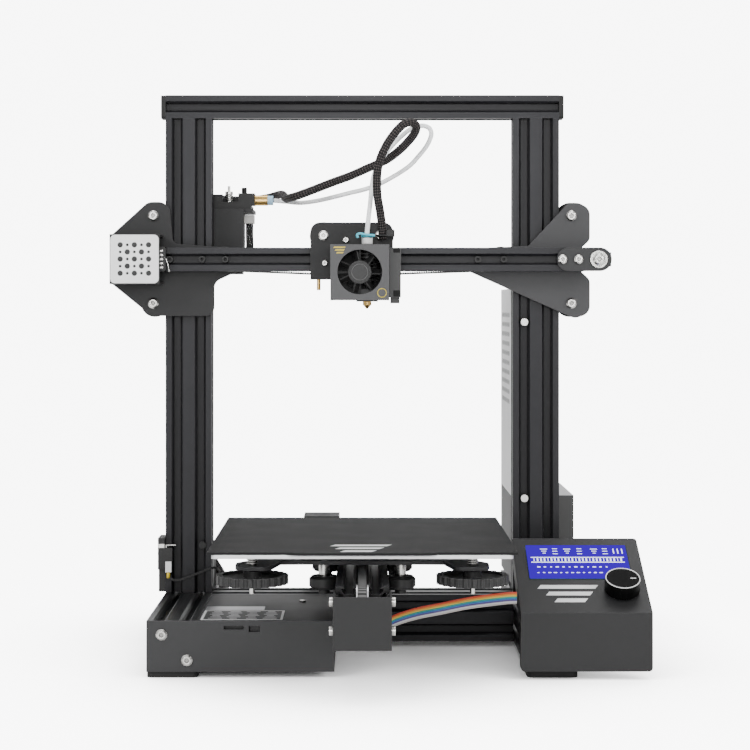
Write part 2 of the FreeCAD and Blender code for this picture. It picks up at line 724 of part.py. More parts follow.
def build_extruder():
    shelf_top = dim.beam_middle + 45.5
    axis = (-126.4, 40)
    sub_part("extruder_motor", motor("extruder_motor", 40, 16), (*axis, shelf_top - 3))
    base = box((-147.5, 19, shelf_top), (-98, 61, shelf_top + 3.5))
    spring_wall = box((-147.5, 19, shelf_top + 3.5), (-123, 28, shelf_top + 13))
    low_wall = box((-123, 19, shelf_top + 3.5), (-109, 28, shelf_top + 6.5))
    block = box((-109, 19, shelf_top + 3.5), (-95, 28, shelf_top + 14))
    tension_spot = (-117.5, 23.5)
    tension_nut = rod((*tension_spot, shelf_top + 13), 3.4, 2.6)
    tension = fuse(rod((*tension_spot, shelf_top + 6), 2.6, 8), tension_nut)
    stud = rod((*tension_spot, shelf_top + 15), 1.2, 5.5)
    post = box((-104, 28, shelf_top + 3.5), (-95, 38, shelf_top + 14))
    fitting = rod((-95, 33, shelf_top + 8.3), 4.6, 11, ALONG_X)
    collet = rod((-84, 33, shelf_top + 8.3), 4.2, 5, ALONG_X)
    pivot = rod((-106, 55, shelf_top), 2.4, 21)
    path = rod((-106, 33, shelf_top + 8.3), 2.1, 30, ALONG_X)
    shaft_hole = rod((*axis, shelf_top - 1), 6, 8)
    walls = [base, spring_wall, low_wall, block, post, tension, stud]
    body = cut(fuse(*walls, fitting, collet, pivot), path, shaft_hole)
    spring = ring((-144, 28.1, shelf_top + 8.6), 3.5, 2.6, 6.6, ALONG_Y)
    connector = box((-105, 34, 366), (-96, 46, 373.5))
    sub_part("extruder_body", group(body, spring, connector))
    gear = cut(rod((*axis, shelf_top + 4), 5.4, 9), rod((*axis, shelf_top + 3), 2.55, 12))
    sub_part("extruder_gear", gear)
    arm = box((-148, 37, shelf_top + 4), (-133, 43, shelf_top + 13))
    back_arm = box((-148, 47.5, shelf_top + 4), (-102, 59, shelf_top + 13))
    side = box((-148, 37, shelf_top + 4), (-140, 59, shelf_top + 13))
    eye = rod((-106, 55, shelf_top + 3.6), 2.5, 12)
    lever = cut(fuse(arm, back_arm, side), eye)
    sub_part("extruder_lever", lever)


# ---------------------------------------------------------------- carriage
def build_carriage():
    mid = dim.beam_middle
    x, y = dim.nozzle_across, dim.nozzle_front
    body = new_body("carriage_plate")
    top, low = mid + 31.2, mid - 17.3
    tab = mid - 29
    corners = [(-44, low), (-24, low), (-20, tab), (20, tab), (26, low), (26, top), (-44, top)]
    pad(body, "XZ_Plane", [corners], dim.sheet_thick, 37)
    round_edges(body, 8, lambda edge: near_corner(edge, corners[5:]))
    wheel_spots = [(-33, mid + wheel_high), (15, mid + wheel_high), (-9, mid - wheel_high)]
    pocket(body, "XZ_Plane", [(across, high, 2.6) for across, high in wheel_spots])
    sub_part("carriage_plate", body)

    sub_part("carriage_wheels", group(*[place(v_wheel(), (a, beam_y, b), ALONG_Y) for a, b in wheel_spots]))
    bolts = []
    for across, high in wheel_spots:
        shank = rod((across, -40, high), 2.5, 23, ALONG_Y)
        head = button_head((across, -40, high), 4.4, 2.5)
        nut = rod((across, -19.7, high), 4.2, 3, ALONG_Y)
        bolts.append(fuse(shank, head, nut))
        bolts.append(ring((across, -36.9, high), 4.5, 2.55, 6.7, ALONG_Y))
    for across, high in ((-14, mid + 16.3), (-31.8, mid - 3.2)):
        bolts.append(button_head((across, -40, high), 2.8, 2))
    bolts.append(rod((-37, -38.5, low - 9), 1.6, 9))
    for across in (-39.9, 19.9):
        bolts.append(box((across, -36.9, mid - 16), (across + 4, -21, mid - 10.2)))
    sub_part("carriage_bolts", group(*bolts))

    left, right, front = -26.4, 22.2, -85
    shell = box((left, front, 297.5), (right, -40, 343.6))
    hollow = box((left + 1.2, front + 1.2, 290), (right - 1.2, -39, 342.4))
    opening = rod((-2.1, front - 1, 320.8), 18.5, 3, ALONG_Y)
    cap_hole = rod((x, y, 340), 6, 5)
    cover = cut(shell, hollow, opening, cap_hole)
    frame = box((-22.1, front + 1.3, 300.8), (17.9, front + 11.3, 340.8))
    bore = rod((-2.1, front, 320.8), 19, 12, ALONG_Y)
    hub = rod((-2.1, front + 9.3, 320.8), 8, 2, ALONG_Y)
    spokes = [box((-21.5, front + 9.3, 319.8), (17.3, front + 11.3, 321.8))]
    spokes.append(box((-3.1, front + 9.3, 301.4), (-1.1, front + 11.3, 340.2)))
    pin = rod((-2.1, front + 4, 320.8), 1.5, 6, ALONG_Y)
    sub_part("hotend_shroud", group(cover, fuse(cut(frame, bore), hub, *spokes, pin)))

    sink = fuse(rod((x, y, 312), 4.5, 34), *[rod((x, y, 314 + 3.1 * n), 10, 1.4) for n in range(8)])
    mount = box((x - 8, y + 9, 318), (x + 8, -40, 334))
    throat = rod((x, y, 306), 2, 8)
    block = box((x - 9, y - 8, 296.5), (x + 9, y + 11, 307))
    nozzle = fuse(rod((x, y, 293.5), 3.6, 3.5), taper((x, y, dim.nozzle_tip), 0.6, 3.2, 3))
    sub_part("hotend", fuse(sink, mount, throat, block, nozzle, rod((x, y, 345), 4.2, 6)))

    snail = box((right + 0.3, -80, 300), (right + 9.7, -42, 341))
    duct = box((right + 1.3, -74, 295), (right + 8.7, -56, 300.5))
    inlet = rod((right + 5, -61, 322), 11, 8, ALONG_X)
    sub_part("part_blower", cut(fuse(snail, duct), inlet))

    hub = rod((0, 0, 0), 9.5, 6.5)
    blades = []
    for step in range(7):
        blade = box((8.5, -0.6, 0.3), (17.4, 0.6, 6.2))
        twist = FreeCAD.Rotation(Vector(1, 0, 0), 38)
        blade = cut(place_about_blade(blade, twist), rod((0, 0, -9), 30, 9.1), rod((0, 0, 6.4), 30, 9))
        holder = group(blade)
        holder.Placement = FreeCAD.Placement(Vector(), FreeCAD.Rotation(Vector(0, 0, 1), 360 * step / 7))
        blades.append(holder)
    fan = cut(fuse(hub, *blades), rod((0, 0, 0.8), 1.55, 8))
    sub_part("hotend_fan", fan, (-2.1, front + 2, 320.8), ALONG_Y)


def place_about_blade(blade, twist):
    """Pitch a fan blade about its own length."""
    holder = group(blade)
    middle = Vector(0, 0, 3.25)
    holder.Placement = FreeCAD.Placement(Vector(), twist, middle)
    return holder


# ---------------------------------------------------------------- lift
def build_lift():
    spot = (dim.screw_across, dim.screw_back)
    sub_part("z_motor", motor("z_motor", 34, 18), (*spot, base_top + 34))
    coupling = ring((*spot, 86), 9.5, 4.05, 23)
    coupling = cut(coupling, rod((*spot, 85), 4.1, 12))
    screw = rod((*spot, 97.5), 4, frame_top - 5 - 97.5)
    sub_part("lead_screw", fuse(coupling, screw, ring((*spot, 86), 5, 2.55, 11)))


# ---------------------------------------------------------------- display unit
def slope_point(across, up_slope, lift):
    """A spot on the display's sloping face, from its lower front edge, lifted along its normal."""
    angle = math.radians(DRIVING["display_slope"])
    y = dim.display_front + up_slope * math.cos(angle) - lift * math.sin(angle)
    z = Size(53) + up_slope * math.sin(angle) + lift * math.cos(angle)
    return (across, y, z)


def build_display():
    front, left, right = dim.display_front, dim.display_left, dim.display_right
    wide = right - left
    slope = math.tan(math.radians(DRIVING["display_slope"]))
    back = front + 92
    skin = dim.thin_sheet
    outer = [(front, 7), (front, 53), (back, 53 + 92 * slope), (back, 84), (front + 16, 46.5)]
    outer += [(front + 11.5, 46.5), (front + 11.5, 7)]
    body = new_body("display_housing")
    pad(body, "YZ_Plane", [outer], wide, left)
    round_edges(body, 3, lambda edge: on_housing_corner(edge, float(back)))
    inner_high = 53 - 1.7
    inner = [(front + skin, 5), (front + skin, inner_high + 1.5 * slope)]
    inner += [(back + 5, inner_high + 97 * slope), (back + 5, 5)]
    pocket(body, "YZ_Plane", [inner], wide - 2 * skin, right - skin)
    dial = (dim.dial_across, dim.dial_up)
    windows = [turned_block((134, 44.9, -4), (217, 92.5, 4)), slope_rod((*dial, -5), 3.8, 10)]
    sub_part("display_housing", cut(body, *windows))

    glass = turned_block((134.3, 45.2, -4.5), (216.7, 92.2, 0.4))
    board = turned_block((129, 38.5, -7.6), (222, 96, -6))
    standoffs = [turned_block((a, b, -6), (a + 5, b + 5, -4.5)) for a in (140, 205) for b in (50, 70)]
    cup_low = (dim.dial_across - 6.5, dim.dial_up - 6.5, -10)
    cup_high = (dim.dial_across + 6.5, dim.dial_up + 6.5, -2)
    cup = cut(turned_block(cup_low, cup_high), slope_rod((*dial, -9), 3.2, 8))
    tongue = turned_block((dim.dial_across - 6, dim.dial_up + 6, -7.6), (dim.dial_across + 6, 39.5, -6))
    sub_part("display_module", fuse(glass, board, cup, tongue, *standoffs))

    shaft = fuse(slope_rod((*dial, -7.5), 3.1, 13.5), slope_rod((*dial, 5.5), 3, 6))
    sub_part("encoder_shaft", shaft)
    knob = cut(slope_rod((*dial, 2), dim.dial_radius, 11), slope_rod((*dial, 1.5), 9, 3.2))
    knob = cut(knob, slope_rod((*dial, 1.5), 3.15, 10.3))
    sub_part("display_knob", knob)


def on_housing_corner(edge, back):
    """True for the upright edges at the back and the edges under the front face's ends."""
    middle = edge.CenterOfMass
    upright = runs_along(edge, Vector(0, 0, 1)) and abs(middle.y - back) < 1
    under = runs_along(edge, Vector(0, 1, 0)) and abs(middle.z - 7) < 1
    return upright or under


def turned_block(low, high):
    """A block lying on the sloping face: corners as across, up the slope, and lift from it."""
    item = box((0, 0, 0), [as_size(b) - a for a, b in zip(low, high)])
    return place(item, slope_point(*low), SLOPE)


def slope_rod(spot, radius, length):
    return rod(slope_point(*spot), radius, length, SLOPE)


# ---------------------------------------------------------------- electronics
def build_control_box():
    front = -155.5
    outside = box((-129.5, front + 2, 6), (-22, -21, 43.5))
    tray = cut(outside, box((-128, front + 3.5, 7.5), (-23.5, -22.5, 45)))
    face = box((-170, front, 5), (-22, front + 2, 45))
    card_slot = box((-109, front - 1, 38.2), (-93.3, front + 5, 41))
    plug_slot = box((-89.3, front - 1, 36.2), (-80.7, front + 5, 41))
    lid = box((-129.5, front + 2.1, 43.6), (-22, -21, 44.9))
    face_and_tray = cut(fuse(tray, face), card_slot, plug_slot)
    sub_part("control_box", group(face_and_tray, cut(lid, rod((-50, -60, 40), 1.6, 8))))
    board = box((-126, -148, 20), (-28, -50, 21.6))
    card = box((-108.5, front + 4, 21.6), (-93.8, -134, 40.5))
    plug = box((-88.8, front + 4, 21.6), (-81.2, -138, 40.5))
    sinks = [box((x, -100, 21.6), (x + 9, -91, 32)) for x in (-118, -98, -78, -58)]
    blocks = [box((-40, -140, 21.6), (-29, -90, 31)), box((-118, -66, 21.6), (-40, -54, 30))]
    sub_part("control_board", fuse(board, card, plug, *sinks, *blocks))


def build_power_supply():
    case = box((130, 12.5, 127), (160, 127, 308))
    cover = box((130, 12.5, 50), (185, 127, 127))
    socket = box((180, 60, 62), (186, 88, 84))
    well = box((178, 62, 95), (186, 84, 110))
    sub_part("power_supply", cut(fuse(case, cover), socket, well))
    rocker = rod((183, 62.5, 102.5), 7, 21, ALONG_Y)
    keep = box((180.5, 62.5, 96), (188, 83.5, 109))
    switch = doc.addObject("Part::Common", "rocker")
    switch.Base = rocker
    switch.Tool = keep
    sub_part("power_switch", cut(switch, box((186.5, 60, 102.5), (190, 86, 110))))


def build_switches():
    z_bracket = fuse(box((-176, -9, 46), (-170.2, 9, 93)), box((-176, -16.4, 66), (-170.2, -9, 93)))
    z_switch = box((-170.2, -16.4, 73), (-163.6, -10.6, 84.5))
    lever_post = box((-169.5, -14, 84.5), (-168.5, -12, 86.5))
    lever = box((-169.5, -15.5, 86.5), (-160.5, -11.5, 87.3))
    z_plug = box((-169.6, -16, 63.5), (-164.4, -11, 72.9))
    y_switch = box((24, 88, 46), (30, 108, 56))
    sub_part("limit_switches", group(fuse(z_bracket, z_switch, lever_post, lever), z_plug, y_switch))


def build_frame_screws():
    screws = []
    for x, z in ((140, 279), (140, 126.7), (-138, 86.3)):
        screws.append(rod((x, -11.4, z), 3.2, 1.35, ALONG_Y))
    for side in (-1, 1):
        for z in (base_top + 6.5, base_top + 28):
            turn = ALONG_X if side > 0 else BACK_X
            start = side * (rail_side / 2 + dim.thin_sheet)
            ends = [bed_rail_front + 4.5] + [dim.bed_rail_back - 4.5] * (side > 0)
            for y in ends:
                screws.append(rod((start, y, z), 3.6, 3.2, turn))
    for x, z in ((-158, 34.2), (-138, 14.2)):
        screws.append(button_head((x, -155.5, z), 4.6, 2.4))
    screws.append(rod((-50, -60, base_top), 2.6, 1.6))
    sub_part("frame_screws", group(*screws))


# ---------------------------------------------------------------- cables
def hose(points, radius):
    """A round cable along a smooth curve through the given points."""
    curve = Part.BSplineCurve()
    curve.interpolate([Vector(*point) for point in points])
    spine = Part.Wire([curve.toShape()])
    start, direction = curve.value(0), curve.tangent(0)[0]
    section = Part.Wire([Part.Circle(start, direction, radius).toShape()])
    return spine.makePipeShell([section], True, True)


def ribbon(points, high, thick, y):
    """A flat cable standing on edge, following a curve seen from the front."""
    lower = Part.BSplineCurve()
    lower.interpolate([Vector(x, y, z) for x, z in points])
    upper = Part.BSplineCurve()
    upper.interpolate([Vector(x, y, z + high) for x, z in points])
    face = Part.makeRuledSurface(lower.toShape(), upper.toShape())
    return face.extrude(Vector(0, thick, 0))


def build_cables():
    flat_run = [(-20, 33.5), (0, 33.5), (15, 33.8), (20.5, 35), (25, 39.4), (42, 45), (62, 49)]
    flat = ribbon(flat_run + [(85, 53.6), (112, 57), (122, 57.5)], 9.5, 1.3, -150)
    lower = [(-121, 25.5, 14), (-122, 36, 30), (-126, 58, 48), (-137, 68, 66), (-145, 71, 90)]
    lower += [(-149, 72, 120), (-150, 72, 200), (-150, 71.5, 290), (-150, 71, 345), (-150, 71, 362)]
    z_lead = [(-167, -13.5, 63.2), (-163.5, -14, 57), (-155, -14, 57.5), (-140, -13, 63), (-128, -11, 67)]
    z_lead.append((-124, 2, 62))
    solids = [flat, hose(lower, 4.5), hose(z_lead, 0.9)]
    sub_part("wiring", freeform(Part.makeCompound(solids), "wiring_runs"))
    tube = [(-78.8, 33, 386.3), (-68, 30, 385.2), (-54.1, 13, 383.2), (-39.5, -2, 384.1), (-25, -11, 386.8)]
    tube += [(-10.5, -16, 390.2), (3.9, -20, 393.5), (18.1, -24, 399), (38.1, -31, 410.6), (47.9, -35, 420.3)]
    tube += [(54.9, -39, 429.2), (58.3, -42, 437.4), (57.2, -43, 442.6), (53.3, -44, 444.9), (48.3, -45, 445)]
    tube += [(42, -45, 443), (35.4, -45, 438.4), (26.4, -45, 429.7), (16.5, -46, 417.3), (10.2, -47, 404.6)]
    tube += [(8, -50, 393), (6.6, -54, 378.8), (5.1, -58.4, 365.9), (4, -60, 354.6), (4, -60, 351.2)]
    sub_part("bowden_tube", freeform(hose(tube, 2), "guide_tube"))
    loom = [(-150, 71, 371), (-149, 71, 380), (-142, 71, 386.5), (-128, 71, 388.6), (-112, 69, 388.6)]
    loom += [(-98, 63, 388.5), (-84, 53, 390), (-74, 40, 391.9), (-70, 28, 391), (-67, 14, 387.1)]
    loom += [(-64, 0, 386.6), (-59, -12, 387), (-53, -17.5, 388.6), (-39.2, -19, 393.7), (-24.9, -20, 399.2)]
    loom += [(-10.5, -23, 404.2), (3.9, -27, 410.3), (13.8, -29, 414.4), (22.3, -32, 418.4)]
    loom += [(32.1, -40, 425.5), (39, -48, 432), (43.8, -54, 437.8), (45.2, -59, 442.7), (42.8, -63, 445.6)]
    loom += [(38.6, -66, 446), (33.7, -67, 443.8), (27.4, -67, 437.3), (21.8, -66, 429.7), (17, -66, 420.6)]
    loom += [(14.2, -65, 413), (12.6, -64, 404.7), (12.2, -62, 395.1), (12.8, -60, 384), (15, -56, 371.6)]
    loom += [(16.7, -52, 359.1), (17.5, -51, 349)]
    sub_part("cable_loom", freeform(hose(loom, 3.7), "braided_loom"))


def check_and_write():
    """Stop on any failed object or shape, then write one STEP file for each sub-part."""
    doc.recompute()
    failed = [item.Name for item in doc.Objects if {"Invalid", "Error"} & set(item.State)]
    if failed:
        raise SystemExit(f"failed objects: {failed}")
    whole = FreeCAD.BoundBox()
    bad = []
    for item in sub_parts:
        if item.Shape.isNull() or not item.Shape.isValid() or not item.Shape.Solids:
            bad.append(item.Label)
        whole.add(item.Shape.BoundBox)
    if bad:
        raise SystemExit(f"no valid solid: {bad}")
    middle = whole.Center
    print("outline", [round(side, 2) for side in (whole.XLength, whole.YLength, whole.ZLength)])
    print("middle", round(middle.x, 3), round(middle.y, 3), "floor", round(whole.ZMin, 3))
    os.makedirs("parts", exist_ok=True)
    for item in sub_parts:
        item.Shape.exportStep(f"parts/{item.Label}.step")


build_frame()
build_feet_and_caps()
build_brackets()
build_bed_drive()
build_bed()
build_gantry_plates()
build_gantry_drive()
build_extruder()
build_carriage()
build_lift()
build_display()
build_control_box()
build_power_supply()
build_switches()
build_frame_screws()
build_cables()
check_and_write()
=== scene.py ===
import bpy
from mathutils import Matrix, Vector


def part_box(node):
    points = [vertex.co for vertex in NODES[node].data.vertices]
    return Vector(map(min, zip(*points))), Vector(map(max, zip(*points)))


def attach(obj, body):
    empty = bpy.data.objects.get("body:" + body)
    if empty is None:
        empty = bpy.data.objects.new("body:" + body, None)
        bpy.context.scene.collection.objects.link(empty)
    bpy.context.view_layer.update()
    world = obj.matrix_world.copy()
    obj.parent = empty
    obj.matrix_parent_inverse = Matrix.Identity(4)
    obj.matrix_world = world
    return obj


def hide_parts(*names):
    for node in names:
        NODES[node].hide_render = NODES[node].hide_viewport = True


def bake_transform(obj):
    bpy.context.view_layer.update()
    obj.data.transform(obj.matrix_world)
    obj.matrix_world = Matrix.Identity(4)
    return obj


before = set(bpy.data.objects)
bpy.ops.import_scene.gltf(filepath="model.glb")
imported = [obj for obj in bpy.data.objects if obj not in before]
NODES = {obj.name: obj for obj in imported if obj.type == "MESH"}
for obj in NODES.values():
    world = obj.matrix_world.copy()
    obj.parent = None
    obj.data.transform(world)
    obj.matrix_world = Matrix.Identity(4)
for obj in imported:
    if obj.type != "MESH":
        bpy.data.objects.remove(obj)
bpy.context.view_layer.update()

import math

import bmesh
import bpy
from mathutils import Vector

# The looks of a desktop filament printer. Lengths in this file are millimetres from the middle of the
# uprights at floor level, as in the CAD source; at() turns them into metres in the row frame.
MM = 0.001
UPRIGHT_LOW, UPRIGHT_HIGH = (Vector(corner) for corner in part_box("uprights"))
MIDDLE = (UPRIGHT_LOW + UPRIGHT_HIGH) / 2
SLOPE_ANGLE = math.radians(27)
BEAM_Z = (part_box("x_beam")[0][2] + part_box("x_beam")[1][2]) / 2 / MM
BELT_PITCH = 2 * MM
SCREW_PITCH = 2 * MM
BACKDROP_GLOW = 7.0

RIGHT = Vector((1, 0, 0))
BACK = Vector((0, 1, 0))
UP = Vector((0, 0, 1))
FRONT = Vector((0, -1, 0))
SLOPE_UP = Vector((0, math.cos(SLOPE_ANGLE), math.sin(SLOPE_ANGLE)))
SLOPE_OUT = Vector((0, -math.sin(SLOPE_ANGLE), math.cos(SLOPE_ANGLE)))

# A facing is three directions: right and up as seen on a face, and out of it.
ON_FRONT = (RIGHT, UP, FRONT)
ON_TOP = (RIGHT, BACK, UP)
ON_SLOPE = (RIGHT, SLOPE_UP, SLOPE_OUT)


def at(x, y, z):
    """A spot given in millimetres from the uprights' middle, as metres in the row frame."""
    return Vector((MIDDLE.x + x * MM, MIDDLE.y + y * MM, z * MM))


def on_slope(across, up, lift):
    """A spot on the display's sloping face: across, up the slope from its front edge, lifted off it."""
    y = -165 + up * math.cos(SLOPE_ANGLE) - lift * math.sin(SLOPE_ANGLE)
    z = 53 + up * math.sin(SLOPE_ANGLE) + lift * math.cos(SLOPE_ANGLE)
    return at(across, y, z)


# ---------------------------------------------------------------- material tools
class Surface:
    """One node material being built, with short ways to add and join nodes."""

    def __init__(self, name):
        self.material = bpy.data.materials.new(name)
        self.material.use_nodes = True
        self.tree = self.material.node_tree
        self.shader = self.tree.nodes["Principled BSDF"]
        self.place = self.add("ShaderNodeTexCoord").outputs["Object"]

    def add(self, kind, **settings):
        """A new node of a kind, with some of its properties set."""
        node = self.tree.nodes.new(kind)
        for key, value in settings.items():
            setattr(node, key, value)
        return node

    def put(self, socket, value):
        """Feed a socket from another node's output, or give it a fixed value."""
        if isinstance(value, bpy.types.NodeSocket):
            self.tree.links.new(value, socket)
        else:
            socket.default_value = value

    def set(self, field, value):
        """Give one of the finish's own fields a value."""
        self.put(self.shader.inputs[field], value)

    def maths(self, operation, *values):
        """The result of one sum on values or other results."""
        node = self.add("ShaderNodeMath", operation=operation)
        for socket, value in zip(node.inputs, values):
            self.put(socket, value)
        return node.outputs[0]

    def axis(self, name, source=None):
        """One coordinate of the place in the row frame, in metres."""
        node = self.add("ShaderNodeSeparateXYZ")
        self.put(node.inputs[0], source or self.place)
        return node.outputs[name]

    def stretched(self, scale):
        """The place in the row frame, scaled by a different amount on each axis."""
        node = self.add("ShaderNodeMapping")
        self.put(node.inputs["Vector"], self.place)
        node.inputs["Scale"].default_value = scale
        return node.outputs[0]

    def noise(self, scale, detail=3, where=None):
        """A cloudy value from 0 to 1; a larger scale makes it finer."""
        node = self.add("ShaderNodeTexNoise")
        self.put(node.inputs["Vector"], where or self.place)
        node.inputs["Scale"].default_value = scale
        node.inputs["Detail"].default_value = detail
        return node.outputs[0]

    def between(self, value, low, high):
        """Remap a 0 to 1 value to low to high."""
        node = self.add("ShaderNodeMapRange")
        self.put(node.inputs["Value"], value)
        node.inputs["To Min"].default_value = low
        node.inputs["To Max"].default_value = high
        return node.outputs[0]

    def step(self, value, edge, soft=0.0001):
        """0 below the edge, 1 above it, with a narrow blend."""
        node = self.add("ShaderNodeMapRange")
        self.put(node.inputs["Value"], value)
        node.inputs["From Min"].default_value = edge - soft
        node.inputs["From Max"].default_value = edge + soft
        return node.outputs[0]

    def below(self, value, edge):
        """1 below the edge, 0 above it."""
        return self.maths("SUBTRACT", 1.0, self.step(value, edge))

    def within(self, value, low, high):
        """1 from low to high, 0 outside."""
        return self.maths("SUBTRACT", self.step(value, low), self.step(value, high))

    def both(self, first, second):
        """1 where both masks are 1."""
        return self.maths("MULTIPLY", first, second)

    def mix(self, factor, first, second, kind="RGBA"):
        """Blend from the first to the second value as the factor goes from 0 to 1."""
        node = self.add("ShaderNodeMix", data_type=kind)
        sockets = [s for s in node.inputs if s.enabled]
        self.put(sockets[0], factor)
        self.put(sockets[1], (*first, 1) if isinstance(first, tuple) else first)
        self.put(sockets[2], (*second, 1) if isinstance(second, tuple) else second)
        return next(s for s in node.outputs if s.enabled)

    def edge_wear_and_highlight(self, radius):
        """1 close to sharp edges, 0 on flats: how far a rounded normal leans from the real one. It marks
        rubbed edges and a painted edge highlight.
        """
        round_off = self.add("ShaderNodeBevel", samples=4)
        round_off.inputs["Radius"].default_value = radius
        lean = self.add("ShaderNodeVectorMath", operation="DOT_PRODUCT")
        self.put(lean.inputs[0], round_off.outputs[0])
        self.put(lean.inputs[1], self.add("ShaderNodeNewGeometry").outputs["Normal"])
        bent = self.maths("SUBTRACT", 1.0, lean.outputs["Value"])
        return round_off.outputs[0], self.maths("MINIMUM", self.maths("MULTIPLY", bent, 4.0), 1.0)

    def bump(self, height, distance, strength=1.0, normal=None):
        """Tilt the surface as a height from 0 to 1 would, its full rise being the distance."""
        node = self.add("ShaderNodeBump")
        self.put(node.inputs["Height"], height)
        node.inputs["Distance"].default_value = distance
        node.inputs["Strength"].default_value = strength
        if normal is not None:
            self.put(node.inputs["Normal"], normal)
        self.set("Normal", node.outputs[0])


def shade(value, tint=0.0):
    """A grey, made a little bluer by the tint."""
    return (value, value, value * (1 + tint))


def finish_surface(name, colour, metallic, roughness, grain=900, relief=0.00004, wear_and_highlight=0.25):
    """A plain finish with fine relief, uneven gloss and paler edges, partly rubbed and partly a painted
    highlight.
    """
    s = Surface(name)
    rounded, worn_and_lit_edges = s.edge_wear_and_highlight(0.7 * MM)
    fine = s.noise(grain)
    broad = s.noise(35, 4)
    pale = tuple(min(1, channel * 2.2 + 0.10) for channel in colour)
    dim = tuple(channel * 0.82 for channel in colour)
    uneven = 0.06
    # Paler edges: partly rubbed finish, partly a painted highlight.
    s.set("Base Color", s.mix(s.maths("MULTIPLY", worn_and_lit_edges, wear_and_highlight), s.mix(broad, dim, colour), pale))
    s.set("Metallic", metallic)
    s.set("Roughness", s.between(broad, roughness - uneven, roughness + uneven))
    s.set("Specular IOR Level", 0.32)
    s.bump(fine, relief, 0.6, rounded)
    return s


def powder_coat(name, value):
    """Near-black coated steel sheet with a fine grain."""
    return finish_surface(name, shade(value, 0.04), 0.0, 0.50, grain=1500, relief=0.00006, wear_and_highlight=0.35)


def plastic(name, colour, roughness=0.4, relief=0.00003):
    """Moulded plastic, paint or print of one colour."""
    return finish_surface(name, colour, 0, roughness, relief=relief)


def metal_surface(name, colour, roughness=0.3, grain=700):
    """Bare or plated metal, with painted shade in its sockets and gaps."""
    s = finish_surface(name, colour, 1.0, roughness, grain=grain, relief=0.00002, wear_and_highlight=0.15)
    paint_shade_in_hollows(s, 2.8 * MM)
    return s


def rail_surface(name, along, sawn_low=(0.62, 0.62, 0.64), sawn_high=(0.85, 0.85, 0.87)):
    """Black anodised extrusion with drawing lines along it, bare sawn ends, paler edges that are partly
    rubbed and partly a painted highlight, and painted shade in its slots.
    """
    s = Surface(name)
    rounded, worn_and_lit_edges = s.edge_wear_and_highlight(0.5 * MM)
    scale = [900, 900, 900]
    scale["XYZ".index(along)] = 6
    lines = s.noise(1.0, 2, s.stretched(tuple(scale)))
    broad = s.noise(20, 3)
    black = s.mix(broad, (0.010, 0.010, 0.012), (0.017, 0.017, 0.019))
    # Paler edges: partly rubbed anodising, partly a painted highlight.
    black = s.mix(s.maths("MULTIPLY", worn_and_lit_edges, 0.45), black, (0.16, 0.16, 0.17))
    facing = s.axis(along, s.add("ShaderNodeNewGeometry").outputs["True Normal"])
    sawn = s.step(s.maths("ABSOLUTE", facing), 0.9, 0.02)
    saw_marks = s.noise(1.0, 2, s.stretched((2500, 2500, 120)))
    s.set("Base Color", s.mix(sawn, black, s.mix(saw_marks, sawn_low, sawn_high)))
    s.set("Metallic", s.between(sawn, 0.55, 1.0))
    s.set("Roughness", s.mix(sawn, s.between(lines, 0.30, 0.44), 0.38, "FLOAT"))
    s.bump(lines, 0.00003, 0.35, rounded)
    # Painted shade in the slots and gaps.
    paint_shade_in_hollows(s, 9 * MM)
    return s


def belt_surface(name, along):
    """Black rubber with a painted highlight on the tooth crests at every belt pitch along one axis."""
    s = finish_surface(name, shade(0.020), 0, 0.7, grain=1300)
    wave = s.maths("SINE", s.maths("MULTIPLY", s.axis(along), 2 * math.pi / BELT_PITCH))
    crests = s.step(wave, 0.0, 0.4)
    # Paler tooth crests: a painted highlight.
    overlay(s, s.maths("MULTIPLY", crests, 0.75), shade(0.16))
    s.bump(crests, 0.0004, 0.8)
    return s


def paint_shade_in_hollows(s, reach, deepest=0.08):
    """Paint shade inside sockets, slots and gaps, where nearby surfaces close in: the colour fades toward
    black there.
    """
    node = s.add("ShaderNodeAmbientOcclusion", samples=8)
    node.inputs["Distance"].default_value = reach
    opening = s.maths("POWER", node.outputs["AO"], 1.8)
    current = s.shader.inputs["Base Color"].links[0].from_socket
    s.set("Base Color", s.mix(opening, s.mix(deepest, shade(0.0), current), current))


def overlay(s, mask, colour, metallic=None, roughness=None):
    """Paint one region of a finished surface in another colour and gloss."""
    for field, value in (("Base Color", colour), ("Metallic", metallic), ("Roughness", roughness)):
        if value is None:
            continue
        socket = s.shader.inputs[field]
        current = socket.links[0].from_socket if socket.is_linked else socket.default_value
        kind = "RGBA" if field == "Base Color" else "FLOAT"
        s.set(field, s.mix(mask, current, value, kind))


def x_of(s):
    """How far right of the uprights' middle, in metres."""
    return s.maths("SUBTRACT", s.axis("X"), MIDDLE.x)


def y_of(s):
    """How far behind the uprights' middle, in metres."""
    return s.maths("SUBTRACT", s.axis("Y"), MIDDLE.y)


def z_of(s):
    """How high above the floor, in metres."""
    return s.axis("Z")


def paint(node, surface):
    """Give a CAD node one material."""
    target = NODES[node]
    target.data.materials.clear()
    target.data.materials.append(surface.material)


# ---------------------------------------------------------------- materials of the CAD nodes
BRASS = (0.72, 0.47, 0.16)
STEEL = (0.62, 0.62, 0.64)
NICKEL = (0.78, 0.77, 0.74)
PALE_BLUE = (0.42, 0.66, 0.86)
IVORY = (0.85, 0.84, 0.80)


